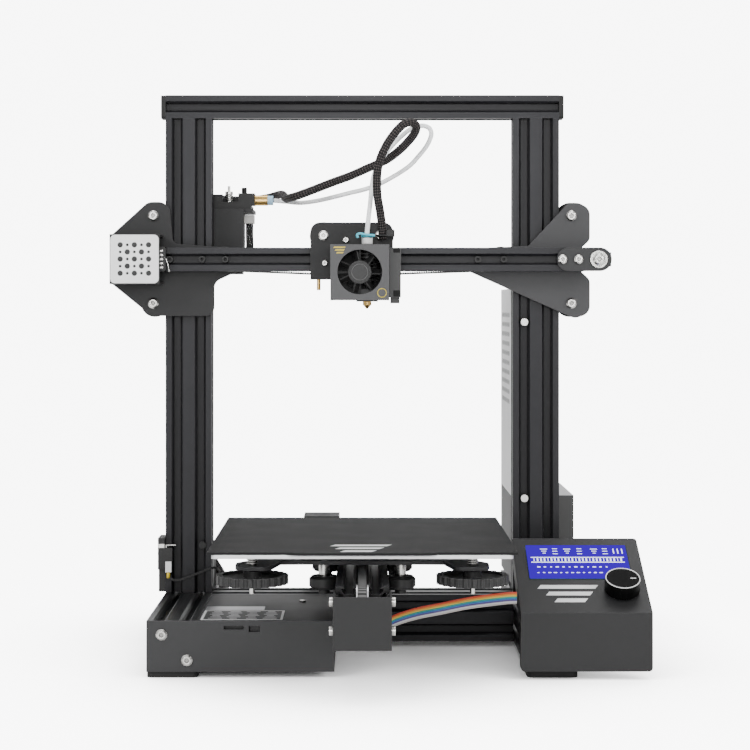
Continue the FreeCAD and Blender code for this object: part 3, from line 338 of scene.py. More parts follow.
def paint_frame():
    rails = {"base_side_rails": "Y", "cross_beam": "X", "uprights": "Z", "top_bar": "X", "x_beam": "X"}
    for node, along in rails.items():
        paint(node, rail_surface(node + "_anodised", along))
    paint("y_rail", rail_surface("y_rail_anodised", "Y", sawn_low=shade(0.03), sawn_high=shade(0.06)))
    paint("feet_and_end_caps", finish_surface("moulded_caps", shade(0.014), 0, 0.62, grain=1200))
    paint("frame_brackets", powder_coat("bracket_coat", 0.015))
    s = metal_surface("zinc_screws", NICKEL, 0.27)
    black_screw = s.both(s.within(z_of(s), 82 * MM, 90 * MM), s.within(x_of(s), -142 * MM, -134 * MM))
    overlay(s, black_screw, shade(0.02), 0.2, 0.5)
    paint("frame_screws", s)
    paint("control_box", powder_coat("box_coat", 0.034))
    paint("display_housing", powder_coat("display_coat", 0.017))


def paint_motors():
    """Black motors with a laminated stack between two end covers, and a steel shaft and boss in front."""
    # The axis that each shaft lies on, and where the front face and the tail are along it.
    spans = {"x_motor": ("Y", -12, 26), "y_motor": ("X", -21.5, -54.5), "z_motor": ("Z", 79, 45),
             "extruder_motor": ("Z", 375, 335)}
    lamination = 0.8 * MM
    cover = 9 * MM
    boss = 2.1 * MM
    for node, (along, face, tail) in spans.items():
        s = finish_surface(node + "_steel", shade(0.006), 0.2, 0.5, grain=500, wear_and_highlight=0.4)
        place = {"X": x_of, "Y": y_of, "Z": z_of}[along](s)
        way = 1.0 if face > tail else -1.0
        depth = s.maths("MULTIPLY", s.maths("SUBTRACT", face * MM, place), way)
        sheet_lines = s.maths("SINE", s.maths("MULTIPLY", depth, 2 * math.pi / lamination))
        stack = s.within(depth, cover, abs(face - tail) * MM - cover)
        overlay(s, stack, (0.014, 0.014, 0.015), 0.2, 0.55)
        s.bump(s.maths("MULTIPLY", sheet_lines, stack), 0.00012, 0.6)
        overlay(s, s.step(s.maths("MULTIPLY", depth, -1.0), boss), STEEL, 1.0, 0.3)
        paint(node, s)


def paint_drive():
    paint("y_belt", belt_surface("bed_belt_rubber", "Y"))
    for node in ("x_drive_pulley", "x_idler_pulley", "y_drive_pulley", "y_idler_pulley"):
        paint(node, metal_surface(node + "_metal", (0.75, 0.75, 0.77), 0.32))
    paint_lead_screw()
    s = powder_coat("left_plate_coat", 0.017)
    nut = s.both(s.within(z_of(s), 299.8 * MM, 303.6 * MM), s.step(y_of(s), 27 * MM))
    overlay(s, nut, BRASS, 1.0, 0.32)
    paint("left_gantry_plates", s)
    paint("right_gantry_plate", powder_coat("right_plate_coat", 0.050))
    s = metal_surface("gantry_zinc", NICKEL, 0.22)
    overlay(s, s.within(y_of(s), -34.5 * MM, -30.5 * MM), shade(0.02), 0.6, 0.3)
    paint("gantry_bolts", s)
    s = powder_coat("tensioner_coat", 0.030)
    heads = s.below(y_of(s), -37.65 * MM)
    overlay(s, heads, NICKEL, 1.0, 0.22)
    # Painted shade in the sockets of the screw heads and in the gaps.
    paint_shade_in_hollows(s, 2.8 * MM)
    paint("belt_tensioner", s)
    paint("x_motor_cover", finish_surface("cover_resin", shade(0.02), 0, 0.5))


def paint_lead_screw():
    """A steel coupler with a threaded screw above it, with a band of painted shade on each thread turn."""
    s = metal_surface("lead_screw_steel", STEEL, 0.28)
    wave = s.maths("SINE", s.maths("MULTIPLY", z_of(s), 2 * math.pi / SCREW_PITCH))
    above_coupler = s.step(z_of(s), 109 * MM)
    # A dark band on each turn of the thread: painted shade.
    overlay(s, s.both(above_coupler, s.step(wave, 0.2, 0.3)), (0.20, 0.20, 0.21))
    s.bump(s.maths("MULTIPLY", wave, above_coupler), 0.0005, 0.9)
    paint("lead_screw", s)


def paint_wheels_and_knobs():
    for node in ("gantry_wheels", "carriage_wheels"):
        paint(node, finish_surface(node + "_resin", shade(0.016), 0, 0.42, grain=800))
    for corner in ("front_left", "front_right", "back_left", "back_right"):
        paint(f"{corner}_bed_wheel", finish_surface(f"{corner}_wheel_resin", shade(0.016), 0, 0.40))
        knob = finish_surface(f"{corner}_knob_resin", shade(0.022), 0, 0.45, relief=0.00008, wear_and_highlight=0.6)
        paint(f"{corner}_level_knob", knob)


def paint_extruder():
    s = finish_surface("extruder_resin", shade(0.009), 0, 0.46, wear_and_highlight=0.4)
    fitting, collet, plug_top, head_low = -94.9, -83.9, 374.0, 384.6
    overlay(s, s.step(x_of(s), fitting * MM), BRASS, 1.0, 0.28)
    overlay(s, s.step(x_of(s), collet * MM), PALE_BLUE, 0.0, 0.35)
    overlay(s, s.below(z_of(s), plug_top * MM), IVORY, 0.0, 0.4)
    # The tension screw stands at this spot, seen from above.
    across, along = -117.5, 23.5
    off_axis = s.add("ShaderNodeCombineXYZ")
    s.put(off_axis.inputs[0], s.maths("SUBTRACT", x_of(s), across * MM))
    s.put(off_axis.inputs[1], s.maths("SUBTRACT", y_of(s), along * MM))
    reach = s.add("ShaderNodeVectorMath", operation="LENGTH")
    s.put(reach.inputs[0], off_axis.outputs[0])
    near_screw = s.below(reach.outputs["Value"], 3.5 * MM)
    overlay(s, s.both(near_screw, s.step(z_of(s), head_low * MM)), NICKEL, 1.0, 0.25)
    paint("extruder_body", s)
    paint("extruder_lever", finish_surface("lever_resin", shade(0.010), 0, 0.44, wear_and_highlight=0.4))
    paint("extruder_gear", metal_surface("gear_steel", (0.10, 0.10, 0.105), 0.34))


def paint_carriage():
    paint("carriage_plate", powder_coat("carriage_coat", 0.013))
    s = metal_surface("carriage_zinc", NICKEL, 0.25)
    stud = s.both(s.below(z_of(s), 315.3 * MM), s.below(x_of(s), -30 * MM))
    overlay(s, stud, BRASS, 1.0, 0.3)
    # Painted shade on the bolts that stand behind the fan.
    shade_behind_fan = s.both(s.within(z_of(s), 305 * MM, 318.5 * MM), s.within(x_of(s), -16 * MM, -2 * MM))
    overlay(s, shade_behind_fan, shade(0.012), 0.3, 0.4)
    paint("carriage_bolts", s)
    s = finish_surface("shroud_sheet", shade(0.075, 0.03), 0.2, 0.46, grain=1200, wear_and_highlight=0.55)
    # Painted shade on the sheet behind its front wall.
    shade_behind_front_wall = s.step(y_of(s), -83.8 * MM)
    overlay(s, shade_behind_front_wall, shade(0.014), 0.0, 0.5)
    paint("hotend_shroud", s)
    s = finish_surface("hotend_metal", shade(0.04), 0.4, 0.42, grain=900, wear_and_highlight=0.4)
    nozzle = s.below(z_of(s), 296.6 * MM)
    overlay(s, nozzle, BRASS, 1.0, 0.28)
    paint("hotend", s)
    paint("part_blower", finish_surface("blower_resin", shade(0.042), 0, 0.45, wear_and_highlight=0.5))
    paint("hotend_fan", finish_surface("fan_resin", shade(0.010), 0, 0.38, wear_and_highlight=0.6))


def paint_bed():
    paint("bed_carriage", powder_coat("bed_carriage_coat", 0.030))
    paint("heated_bed", metal_surface("bed_plate", (0.86, 0.86, 0.87), 0.42))
    s = finish_surface("build_sheet", shade(0.014, 0.03), 0, 0.66, grain=2600, relief=0.0001, wear_and_highlight=0.3)
    s.set("Specular IOR Level", 0.12)
    paint("build_surface", s)
    s = metal_surface("bed_zinc", NICKEL, 0.24)
    axle_feet = s.below(z_of(s), 70.2 * MM)
    overlay(s, axle_feet, shade(0.015), 0.2, 0.45)
    paint("bed_hardware", s)


def paint_electronics():
    s = finish_surface("board_mask", (0.02, 0.09, 0.045), 0, 0.35, wear_and_highlight=0.1)
    above_board = s.step(z_of(s), 21.7 * MM)
    overlay(s, above_board, shade(0.03), 0.1, 0.5)
    paint("control_board", s)
    paint("display_module", finish_surface("module_mask", (0.02, 0.10, 0.05), 0, 0.4, wear_and_highlight=0.1))
    paint("encoder_shaft", metal_surface("encoder_metal", STEEL, 0.3))
    knob = finish_surface("knob_gloss", shade(0.002), 0, 0.38, grain=300, relief=0.00001, wear_and_highlight=0.2)
    knob.set("Specular IOR Level", 0.04)
    paint("display_knob", knob)
    paint_power_supply()
    paint_limit_switches()


def paint_power_supply():
    """A pale perforated case above a dark end cover, and a red rocker."""
    s = finish_surface("supply_sheet", (0.93, 0.93, 0.94), 0.0, 0.5, grain=400)
    # The holes are painted near-black: painted shade of the case's inside seen through them.
    overlay(s, punched_holes(s), shade(0.01), 0.0, 0.8)
    end_cover = s.below(z_of(s), 127 * MM)
    overlay(s, end_cover, shade(0.055), 0.0, 0.5)
    paint("power_supply", s)
    rocker = finish_surface("rocker_red", (0.45, 0.015, 0.012), 0, 0.25, relief=0.00001)
    rocker.set("Coat Weight", 0.5)
    paint("power_switch", rocker)


def punched_holes(s):
    """Rows of round ventilation holes in the supply's case, as a mask."""
    pitch = 8.5 * MM
    squares = []
    for place in (y_of(s), z_of(s)):
        cell = s.maths("FRACT", s.maths("ABSOLUTE", s.maths("DIVIDE", place, pitch)))
        squares.append(s.maths("POWER", s.maths("SUBTRACT", cell, 0.5), 2.0))
    reach = s.maths("SQRT", s.maths("ADD", squares[0], squares[1]))
    round_hole = s.maths("SUBTRACT", 1.0, s.step(reach, 0.27, 0.03))
    field = s.both(s.within(z_of(s), 205 * MM, 290 * MM), s.within(y_of(s), 24 * MM, 115 * MM))
    return s.both(round_hole, field)


def paint_limit_switches():
    """Black switches; the lift switch has a white plug below it and a steel lever above it."""
    s = finish_surface("switch_resin", shade(0.02), 0, 0.5)
    forward = s.below(y_of(s), -10.4 * MM)
    beside = s.step(x_of(s), -170.1 * MM)
    plug = s.both(forward, s.within(z_of(s), 62 * MM, 72.95 * MM))
    overlay(s, s.both(plug, beside), shade(0.8), 0, 0.4)
    lever = s.both(forward, s.within(z_of(s), 84.7 * MM, 88 * MM))
    overlay(s, lever, NICKEL, 1.0, 0.25)
    paint("limit_switches", s)


# ---------------------------------------------------------------- mesh tools
def add_piece(name, mesh, body, surface):
    """Put a mesh in the scene as a piece that moves with a body (or none yet, when body is None)."""
    piece = bpy.data.objects.new(name, mesh)
    bpy.context.scene.collection.objects.link(piece)
    mesh.materials.append(surface.material)
    if body:
        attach(piece, body)
    return piece


def mesh_data(name, mesh):
    """The finished data of a mesh under construction, which is let go."""
    data = bpy.data.meshes.new(name)
    mesh.to_mesh(data)
    mesh.free()
    return data


def smooth_line(points, steps=10):
    """A Catmull-Rom line through the points."""
    ends = [points[0] * 2 - points[1]] + list(points) + [points[-1] * 2 - points[-2]]
    line = []
    for a, b, c, d in zip(ends, ends[1:], ends[2:], ends[3:]):
        for step in range(steps):
            t = step / steps
            line.append(0.5 * (2 * b + (c - a) * t + (2 * a - 5 * b + 4 * c - d) * t ** 2
                               + (3 * b - a - 3 * c + d) * t ** 3))
    return line + [points[-1].copy()]


def tube_mesh(name, line, radius, sides):
    """A closed tube along a line, with a UV map: turns round the tube, and metres along it."""
    mesh = bmesh.new()
    layer = mesh.loops.layers.uv.new("around_and_along")
    side = (line[1] - line[0]).orthogonal().normalized()
    rings = []
    lengths = [0.0]
    for index, centre in enumerate(line):
        ahead = line[min(index + 1, len(line) - 1)] - line[max(index - 1, 0)]
        ahead.normalize()
        side = (side - ahead * side.dot(ahead)).normalized()
        up = ahead.cross(side)
        turns = [2 * math.pi * n / sides for n in range(sides)]
        spots = [centre + (side * math.cos(a) + up * math.sin(a)) * radius for a in turns]
        rings.append([mesh.verts.new(spot) for spot in spots])
        if index:
            lengths.append(lengths[-1] + (centre - line[index - 1]).length)
    for row, (first, second) in enumerate(zip(rings, rings[1:])):
        for n in range(sides):
            after = (n + 1) % sides
            face = mesh.faces.new((first[n], first[after], second[after], second[n]))
            face.smooth = True
            spots = [(n, row), (n + 1, row), (n + 1, row + 1), (n, row + 1)]
            for loop, (turn, station) in zip(face.loops, spots):
                loop[layer].uv = (turn / sides, lengths[station])
    mesh.faces.new(list(reversed(rings[0])))
    mesh.faces.new(rings[-1])
    mesh.normal_update()
    return mesh_data(name, mesh)


def wire_mesh(name, spots, radius, sides, steps=10):
    """A smooth round wire through spots given in millimetres."""
    return tube_mesh(name, smooth_line([at(*spot) for spot in spots], steps), radius * MM, sides)


def coil_mesh(name, base, facing, length, radius, wire, turns):
    """A wire coiled round a line that leaves a face at its base; sizes are in millimetres."""
    right, up, out = facing
    line = []
    steps = turns * 20
    for step in range(steps + 1):
        angle = 2 * math.pi * step / 20
        around = (right * math.cos(angle) + up * math.sin(angle)) * radius
        line.append(base + (around + out * length * step / steps) * MM)
    return tube_mesh(name, line, wire * MM, 8)


def band_mesh(name, line, thick, wide):
    """A flat band along a line in an upright plane, as wide from front to back as it says."""
    mesh = bmesh.new()
    back = BACK * wide / 2
    rows = []
    for index, centre in enumerate(line):
        ahead = (line[min(index + 1, len(line) - 1)] - line[max(index - 1, 0)]).normalized()
        out = Vector((-ahead.z, 0, ahead.x)) * thick / 2
        corners = (-out - back, out - back, out + back, back - out)
        rows.append([mesh.verts.new(centre + corner) for corner in corners])
    for first, second in zip(rows, rows[1:]):
        for n in range(4):
            after = (n + 1) % 4
            mesh.faces.new((first[n], first[after], second[after], second[n]))
    mesh.faces.new(list(reversed(rows[0])))
    mesh.faces.new(rows[-1])
    bmesh.ops.recalc_face_normals(mesh, faces=mesh.faces)
    return mesh_data(name, mesh)


def plate_mesh(name, outline, normal, thick, bevel=0.0):
    """A thin plate: a flat outline pushed along its normal, with softened edges."""
    mesh = bmesh.new()
    base = mesh.faces.new([mesh.verts.new(point) for point in outline])
    moved = bmesh.ops.extrude_face_region(mesh, geom=[base])["geom"]
    verts = [item for item in moved if isinstance(item, bmesh.types.BMVert)]
    bmesh.ops.translate(mesh, verts=verts, vec=normal.normalized() * thick)
    bmesh.ops.recalc_face_normals(mesh, faces=mesh.faces)
    if bevel:
        bmesh.ops.bevel(mesh, geom=list(mesh.edges), offset=bevel, segments=2, affect="EDGES")
    return mesh_data(name, mesh)


def rounded_plate(name, centre, facing, wide, high, radius, thick, bevel=0.0, steps=6):
    """A plate with round corners on a face; sizes are in millimetres."""
    right, up, out = facing
    outline = []
    for quarter, (sx, sy) in enumerate(((1, 1), (-1, 1), (-1, -1), (1, -1))):
        for step in range(steps + 1):
            angle = math.pi / 2 * (quarter + step / steps)
            across = sx * (wide / 2 - radius) + radius * math.cos(angle)
            along = sy * (high / 2 - radius) + radius * math.sin(angle)
            outline.append(centre + (right * across + up * along) * MM)
    return plate_mesh(name, outline, out, thick * MM, bevel * MM)


def circle(centre, facing, radius, sides):
    """Corners of a circle on a face; the radius is in millimetres."""
    right, up, _ = facing
    turns = [2 * math.pi * n / sides for n in range(sides)]
    return [centre + (right * math.cos(a) + up * math.sin(a)) * radius * MM for a in turns]


def disc_mesh(name, centre, facing, radius, sides, thick, bevel=0.0):
    """A round plate on a face; sizes are in millimetres."""
    return plate_mesh(name, circle(centre, facing, radius, sides), facing[2], thick * MM, bevel * MM)


def ring_mesh(name, centre, facing, radius, sides, wire, wire_sides):
    """A ring of round wire on a face; sizes are in millimetres."""
    line = circle(centre, facing, radius, sides)
    return tube_mesh(name, line + [line[0].copy()], wire * MM, wire_sides)


def slanted_bars(facing, first, shift, lengths, slant):
    """Bars one below another, shifted and shortened from each to the next; sizes are in millimetres."""
    right, up, out = facing
    lean = (right * slant[0] + up * slant[1]) * MM
    bars = []
    for number, length in enumerate(lengths):
        low = first + (right * shift[0] + up * shift[1]) * number * MM
        high = low + right * length * MM
        bars.append(plate_mesh("bar", [low, high, high + lean, low + lean], out, 0.05 * MM))
    return bars


def join_meshes(name, meshes):
    """One mesh made of several."""
    joined = bmesh.new()
    for mesh in meshes:
        joined.from_mesh(mesh)
    return mesh_data(name, joined)


# ---------------------------------------------------------------- cables and belts
def braid_surface(name):
    """Black braided sleeve: two families of strands crossing, some of them brownish grey."""
    s = Surface(name)
    uv = s.add("ShaderNodeUVMap", uv_map="around_and_along").outputs[0]
    strands = 6.0
    repeat = 4.6 * MM
    around = s.maths("MULTIPLY", s.axis("X", uv), strands)
    along = s.maths("DIVIDE", s.axis("Y", uv), repeat)
    first = s.maths("SINE", s.maths("MULTIPLY", s.maths("ADD", around, along), 2 * math.pi))
    second = s.maths("SINE", s.maths("MULTIPLY", s.maths("SUBTRACT", around, along), 2 * math.pi))
    weave = s.maths("MULTIPLY", first, second)
    strand = s.step(weave, 0.35, 0.45)
    tone = s.noise(260, 2)
    light = s.mix(tone, (0.016, 0.014, 0.014), (0.15, 0.125, 0.12))
    s.set("Base Color", s.mix(strand, (0.006, 0.006, 0.007), light))
    s.set("Roughness", s.between(tone, 0.45, 0.65))
    s.set("Specular IOR Level", 0.25)
    s.bump(weave, 0.0006, 0.9)
    return s


def tube_surface():
    """Milky guide tube that lets some light through."""
    s = Surface("guide_tube_resin")
    cloud = s.noise(90, 3)
    s.set("Base Color", s.mix(cloud, (0.86, 0.88, 0.91), (0.96, 0.97, 0.98)))
    s.set("Roughness", s.between(cloud, 0.22, 0.34))
    s.set("Subsurface Weight", 0.5)
    s.shader.inputs["Subsurface Radius"].default_value = (0.004, 0.004, 0.004)
    s.bump(cloud, 0.00005, 0.3)
    return s


# Where the hoses run, from the gantry to the carriage, and from the frame to the gantry.
GUIDE_TUBE = [(-78.8, 33, 386.3), (-68, 30, 385.2), (-54.1, 13, 383.2), (-39.5, -2, 384.1),
              (-25, -11, 386.8), (-10.5, -16, 390.2), (3.9, -20, 393.5), (18.1, -24, 399),
              (38.1, -31, 410.6), (47.9, -35, 420.3), (54.9, -39, 429.2), (58.3, -42, 437.4),
              (57.2, -43, 442.6), (53.3, -44, 444.9), (48.3, -45, 445), (42, -45, 443),
              (35.4, -45, 438.4), (26.4, -45, 429.7), (16.5, -46, 417.3), (10.2, -47, 404.6),
              (8, -50, 393), (6.6, -54, 378.8), (5.1, -58.4, 365.9), (4, -60, 354.6), (4, -60, 351.2)]
LOOM = [(-150, 71, 371), (-149, 71, 380), (-142, 71, 386.5), (-128, 71, 388.6), (-112, 69, 388.6),
        (-98, 63, 388.5), (-84, 53, 390), (-74, 40, 391.9), (-70, 28, 391), (-67, 14, 387.1), (-64, 0, 386.6),
        (-59, -12, 387), (-53, -17.5, 388.6), (-39.2, -19, 393.7), (-24.9, -20, 399.2), (-10.5, -23, 404.2),
        (3.9, -27, 410.3), (13.8, -29, 414.4), (22.3, -32, 418.4), (32.1, -40, 425.5), (39, -48, 432),
        (43.8, -54, 437.8), (45.2, -59, 442.7), (42.8, -63, 445.6), (38.6, -66, 446), (33.7, -67, 443.8),
        (27.4, -67, 437.3), (21.8, -66, 429.7), (17, -66, 420.6), (14.2, -65, 413), (12.6, -64, 404.7),
        (12.2, -62, 395.1), (12.8, -60, 384), (15, -56, 371.6), (16.7, -52, 359.1), (17.5, -51, 349)]
LOWER_LOOM = [(-121, 25.5, 14), (-122, 36, 30), (-126, 58, 48), (-137, 68, 66), (-145, 71, 90),
              (-149, 72, 120), (-150, 72, 200), (-150, 71.5, 290), (-150, 71, 345), (-150, 71, 366)]


def add_hoses():
    """The guide tube and the two stretches of loom, curving between the bodies that they join."""
    mesh = wire_mesh("guide_tube", GUIDE_TUBE, 2, 16)
    tube = add_piece("guide_tube", mesh, None, tube_surface())
    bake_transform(tube)
    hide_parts("bowden_tube")
    braid = braid_surface("braided_sleeve")
    mesh = wire_mesh("hot_end_loom", LOOM, 3.6, 20, 6)
    loom = add_piece("hot_end_loom", mesh, None, braid)
    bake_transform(loom)
    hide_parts("cable_loom")
    mesh = wire_mesh("lower_loom", LOWER_LOOM, 4.4, 20, 14)
    lower = add_piece("lower_loom", mesh, None, braid)
    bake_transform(lower)
    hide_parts("wiring")


# Across and up along the ribbon, and the colours of its wires from the lowest up.
RIBBON_PATH = [(-20, 38.2), (0, 38.2), (15, 38.5), (20.5, 39.7), (25, 44.1), (42, 49.7), (62, 53.7),
               (85, 58.3), (112, 61.7), (122, 62.2)]
RIBBON_COLOURS = [(0.45, 0.42, 0.40), (0.60, 0.60, 0.62), (0.10, 0.08, 0.22), (0.05, 0.16, 0.42),
                  (0.03, 0.30, 0.22), (0.62, 0.46, 0.08), (0.70, 0.20, 0.04), (0.52, 0.06, 0.03)]


def add_ribbon():
    """Flat display cable: eight coloured wires side by side, standing on edge."""
    high, y = 9.5, -149.35
    pitch = high / len(RIBBON_COLOURS)
    for number, colour in enumerate(RIBBON_COLOURS):
        lift = (number + 0.5) * pitch - high / 2
        spots = [(x, y, z + lift) for x, z in RIBBON_PATH]
        mesh = wire_mesh("ribbon_wire", spots, pitch * 0.53, 10, 12)
        surface = plastic(f"ribbon_wire_{number}_resin", colour, 0.45)
        add_piece(f"ribbon_wire_{number}", mesh, "frame", surface)


def add_leads():
    """Single leads: the lift switch's pair with its yellow boot, and the extruder motor's four."""
    black = plastic("lead_black", shade(0.02), 0.45)
    yellow = plastic("lead_yellow", (0.75, 0.55, 0.05), 0.45)
    run = [(-167, -13.5, 64), (-163.5, -14, 57), (-155, -14, 57.5), (-140, -13, 63), (-128, -11, 67),
           (-124, 2, 62)]
    for name, shift in (("switch_lead_a", 0.5), ("switch_lead_b", -0.5)):
        spots = [(x, y, z + shift) for x, y, z in run]
        add_piece(name, wire_mesh(name, spots, 0.5, 10), "frame", black)
    boot = tube_mesh("switch_lead_boot", [at(-167, -14.6, z) for z in (64, 61, 58.5)], 1.5 * MM, 12)
    add_piece("switch_lead_boot", boot, "frame", yellow)
    for number in range(4):
        shift = number * 1.7 - 2.5
        spots = [(-100.5 + shift, 40, z) for z in (366, 355, 344)]
        spots += [(-104 + shift, 44, 336), (-114 + shift, 56, 333), (-136 + shift, 66, 336)]
        lead = wire_mesh("motor_lead", spots, 0.85, 10)
        add_piece(f"motor_lead_{number}", lead, "gantry", black)


def add_carriage_belt():
    """The carriage belt in three pieces: the part that keeps its place, and a free run to each clamp."""
    surface = belt_surface("carriage_belt_rubber", "X")
    radius, thick, wide, y = 6.37, 1.4, 6.0, -25
    left, right = -192.6, 201
    clamp_z = BEAM_Z - 12.5

    def half_turn(centre_x, start):
        turns = [start - math.pi * n / 24 for n in range(25)]
        return [at(centre_x + radius * math.cos(a), y, BEAM_Z + radius * math.sin(a)) for a in turns]

    fixed = half_turn(left, -math.pi / 2) + half_turn(right, math.pi / 2)
    mesh = band_mesh("carriage_belt", fixed, thick * MM, wide * MM)
    loop = add_piece("carriage_belt", mesh, "gantry", surface)
    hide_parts("x_belt")
    for name, pulley_x, clamp_x in (("belt_left_run", left, -40), ("belt_right_run", right, 24)):
        start = at(pulley_x, y, BEAM_Z - radius)
        end = at(clamp_x, y, clamp_z)
        line = [start.lerp(end, n / 40) for n in range(41)]
        along = (end - start).normalized()
        inward = Vector((-along.z, 0, along.x)) * (1 if along.x > 0 else -1)
        parts = [band_mesh(name, line, thick * MM, wide * MM)]
        for number in range(1, int((end - start).length / BELT_PITCH)):
            spot = start + along * number * BELT_PITCH + inward * 1.0 * MM
            facing = (along, inward, BACK)
            parts.append(rounded_plate("tooth", spot, facing, 1.1, 0.8, 0.25, wide / 2, steps=2))
        run = add_piece(name, join_meshes(name, parts), None, surface)
        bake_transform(run)


# ---------------------------------------------------------------- small fittings
def add_springs():
    """Four coils under the bed's corners, the squeeze lever's coil and the tension screw's."""
    steel = metal_surface("spring_wire", NICKEL, 0.22)
    bed_middle, reach = -99.5, 85
    coils = []
    for across in (-reach, reach):
        for along in (-reach, reach):
            base = at(across, bed_middle + along, 93.5)
            coils.append(coil_mesh("coil", base, ON_TOP, 8, 3.9, 0.5, 5))
    add_piece("bed_springs", join_meshes("bed_springs", coils), "bed", steel)
    coil = coil_mesh("lever_spring", at(-144, 28.4, 386.6), (RIGHT, UP, BACK), 6, 4.1, 0.5, 4)
    add_piece("lever_spring", coil, "gantry", steel)
    coil = coil_mesh("tension_spring", at(-117.5, 23.5, 384.8), ON_TOP, 6.4, 3.1, 0.55, 4)
    add_piece("tension_spring", coil, "gantry", steel)


def add_hot_end_clip():
    """The pale blue clip and white sleeve where the guide tube enters the hot end."""
    blue = plastic("clip_blue", (0.10, 0.55, 0.70), 0.35)
    white = plastic("sleeve_white", shade(0.85), 0.35)
    sleeve = [at(4, -60, z) for z in (344.5, 346, 348, 350)]
    add_piece("tube_sleeve", tube_mesh("tube_sleeve", sleeve, 4.6 * MM, 24), "carriage", white)
    hook = [(-3.6, -66, 349.6), (-4.4, -66, 352), (-2, -66, 353.2), (3, -66, 352.3), (10.5, -66, 351.6)]
    add_piece("tube_clip", wire_mesh("tube_clip", hook, 1.1, 10), "carriage", blue)
    collar = disc_mesh("tube_collar", at(4, -60, 350.2), ON_TOP, 5.2, 28, 2, 0.4)
    add_piece("tube_collar", collar, "carriage", blue)


def add_ties():
    """A black tie and saddle that hold the loom to the carriage, and the sleeve where its ends join."""
    black = plastic("tie_black", shade(0.012), 0.4)
    tie = ring_mesh("loom_tie", at(17, -51, 352), ON_TOP, 5.0, 24, 0.9, 8)
    add_piece("loom_tie", tie, "carriage", black)
    saddle = rounded_plate("loom_saddle", at(23.5, -51, 354), ON_FRONT, 7.2, 6.4, 1.2, 4, 0.5)
    add_piece("loom_saddle", saddle, "carriage", black)
    joint = wire_mesh("loom_joint", [(-150, 71, z) for z in (362, 366, 371, 374)], 5.2, 20)
    add_piece("loom_joint", joint, "gantry", black)


def add_cover_label():
    """A white plate on the motor cover with a plain field of dots in place of a printed code."""
    white = plastic("label_white", shade(0.97), 0.38, 0.00001)
    dark = plastic("label_ink", shade(0.03), 0.5, 0.00001)
    x, cover_front, thick = -192.6, -45, 0.8
    plate = rounded_plate("cover_label", at(x, cover_front, BEAM_Z), ON_FRONT, 41.2, 41.2, 4, thick, 0.25)
    add_piece("cover_label", plate, "gantry", white)
    pitch = 6
    marks = []
    for row in range(5):
        for column in range(5):
            spot = at(x + (column - 2) * pitch, cover_front - thick, BEAM_Z + (row - 2) * pitch)
            radius = 2.3 if (row + column) % 2 == 0 else 1.2
            marks.append(disc_mesh("mark", spot, ON_FRONT, radius, 20, 0.04))
    add_piece("cover_label_marks", join_meshes("marks", marks), "gantry", dark)


def add_carriage_switch():
    """The small limit switch between the motor cover and the beam."""
    black = plastic("carriage_switch_resin", shade(0.016), 0.42)
    steel = metal_surface("switch_lever_steel", NICKEL, 0.24)
    body = rounded_plate("carriage_switch", at(-169.4, -36.5, BEAM_Z), ON_FRONT, 5.6, 21, 1, 6, 0.5)
    add_piece("carriage_switch", body, "gantry", black)
    lever = [(x, -40, BEAM_Z + z) for x, z in ((-167.6, 3), (-166.8, 1), (-165.2, -4), (-163.6, -11))]
    add_piece("switch_lever", wire_mesh("switch_lever", lever, 0.45, 8), "gantry", steel)
    pins = []
    for z in (-7, -3.5, 0, 3.5, 7):
        spot = at(-170.3, -42.6, BEAM_Z + z)
        pins.append(rounded_plate("pin", spot, ON_FRONT, 3.2, 1.6, 0.3, 0.5))
    add_piece("switch_pins", join_meshes("pins", pins), "gantry", steel)


def add_fan_label():
    """A dark disc with a paler ring on the hub of the hot end's fan."""
    x, z = -2.1, 320.8
    dark = plastic("fan_label_ink", shade(0.035), 0.55)
    disc = disc_mesh("fan_label", at(x, -83.05, z), ON_FRONT, 7.6, 36, 0.15)
    add_piece("fan_label", disc, "hotend_fan", dark)
    pale = plastic("fan_ring_ink", shade(0.10), 0.5)
    ring = ring_mesh("fan_ring", at(x, -83.2, z), ON_FRONT, 6.6, 36, 0.3, 6)
    add_piece("fan_label_ring", ring, "hotend_fan", pale)


def add_blower_slots():
    """Two dark slots in the front of the layer fan."""
    dark = plastic("blower_slot_shadow", shade(0.004), 0.8)
    slots = []
    for z, high in ((338.7, 3.6), (303.2, 5.2)):
        slots.append(rounded_plate("slot", at(28.4, -80, z), ON_FRONT, 5.6, high, 0.5, 0.08))
    add_piece("blower_slots", join_meshes("slots", slots), "carriage", dark)


def add_shroud_accent():
    """Plain gold marks on the shroud: three bars at the top left and a ring at the bottom right."""
    gold = plastic("accent_gold", (0.62, 0.47, 0.06), 0.4)
    marks = slanted_bars(ON_FRONT, at(-24, -85.05, 340.6), (1.2, -2.2), (9.5, 7.5, 5.5), (0.9, 1.2))
    marks.append(ring_mesh("ring", at(16.2, -85.1, 303.6), ON_FRONT, 3.6, 32, 0.35, 6))
    add_piece("shroud_accent", join_meshes("shroud_accent", marks), "carriage", gold)


# ---------------------------------------------------------------- display face
def screen_glow():
    """Deep blue glass, lit from behind and slightly uneven."""
    s = Surface("screen_glow")
    grid = s.noise(2400, 1)
    s.set("Base Color", (0.002, 0.001, 0.02, 1))
    s.set("Roughness", s.between(grid, 0.42, 0.5))
    s.set("Specular IOR Level", 0.0)
    s.set("Emission Color", s.mix(grid, (0.055, 0.0, 0.56), (0.065, 0.0, 0.68)))
    s.set("Emission Strength", 1.0)
    return s


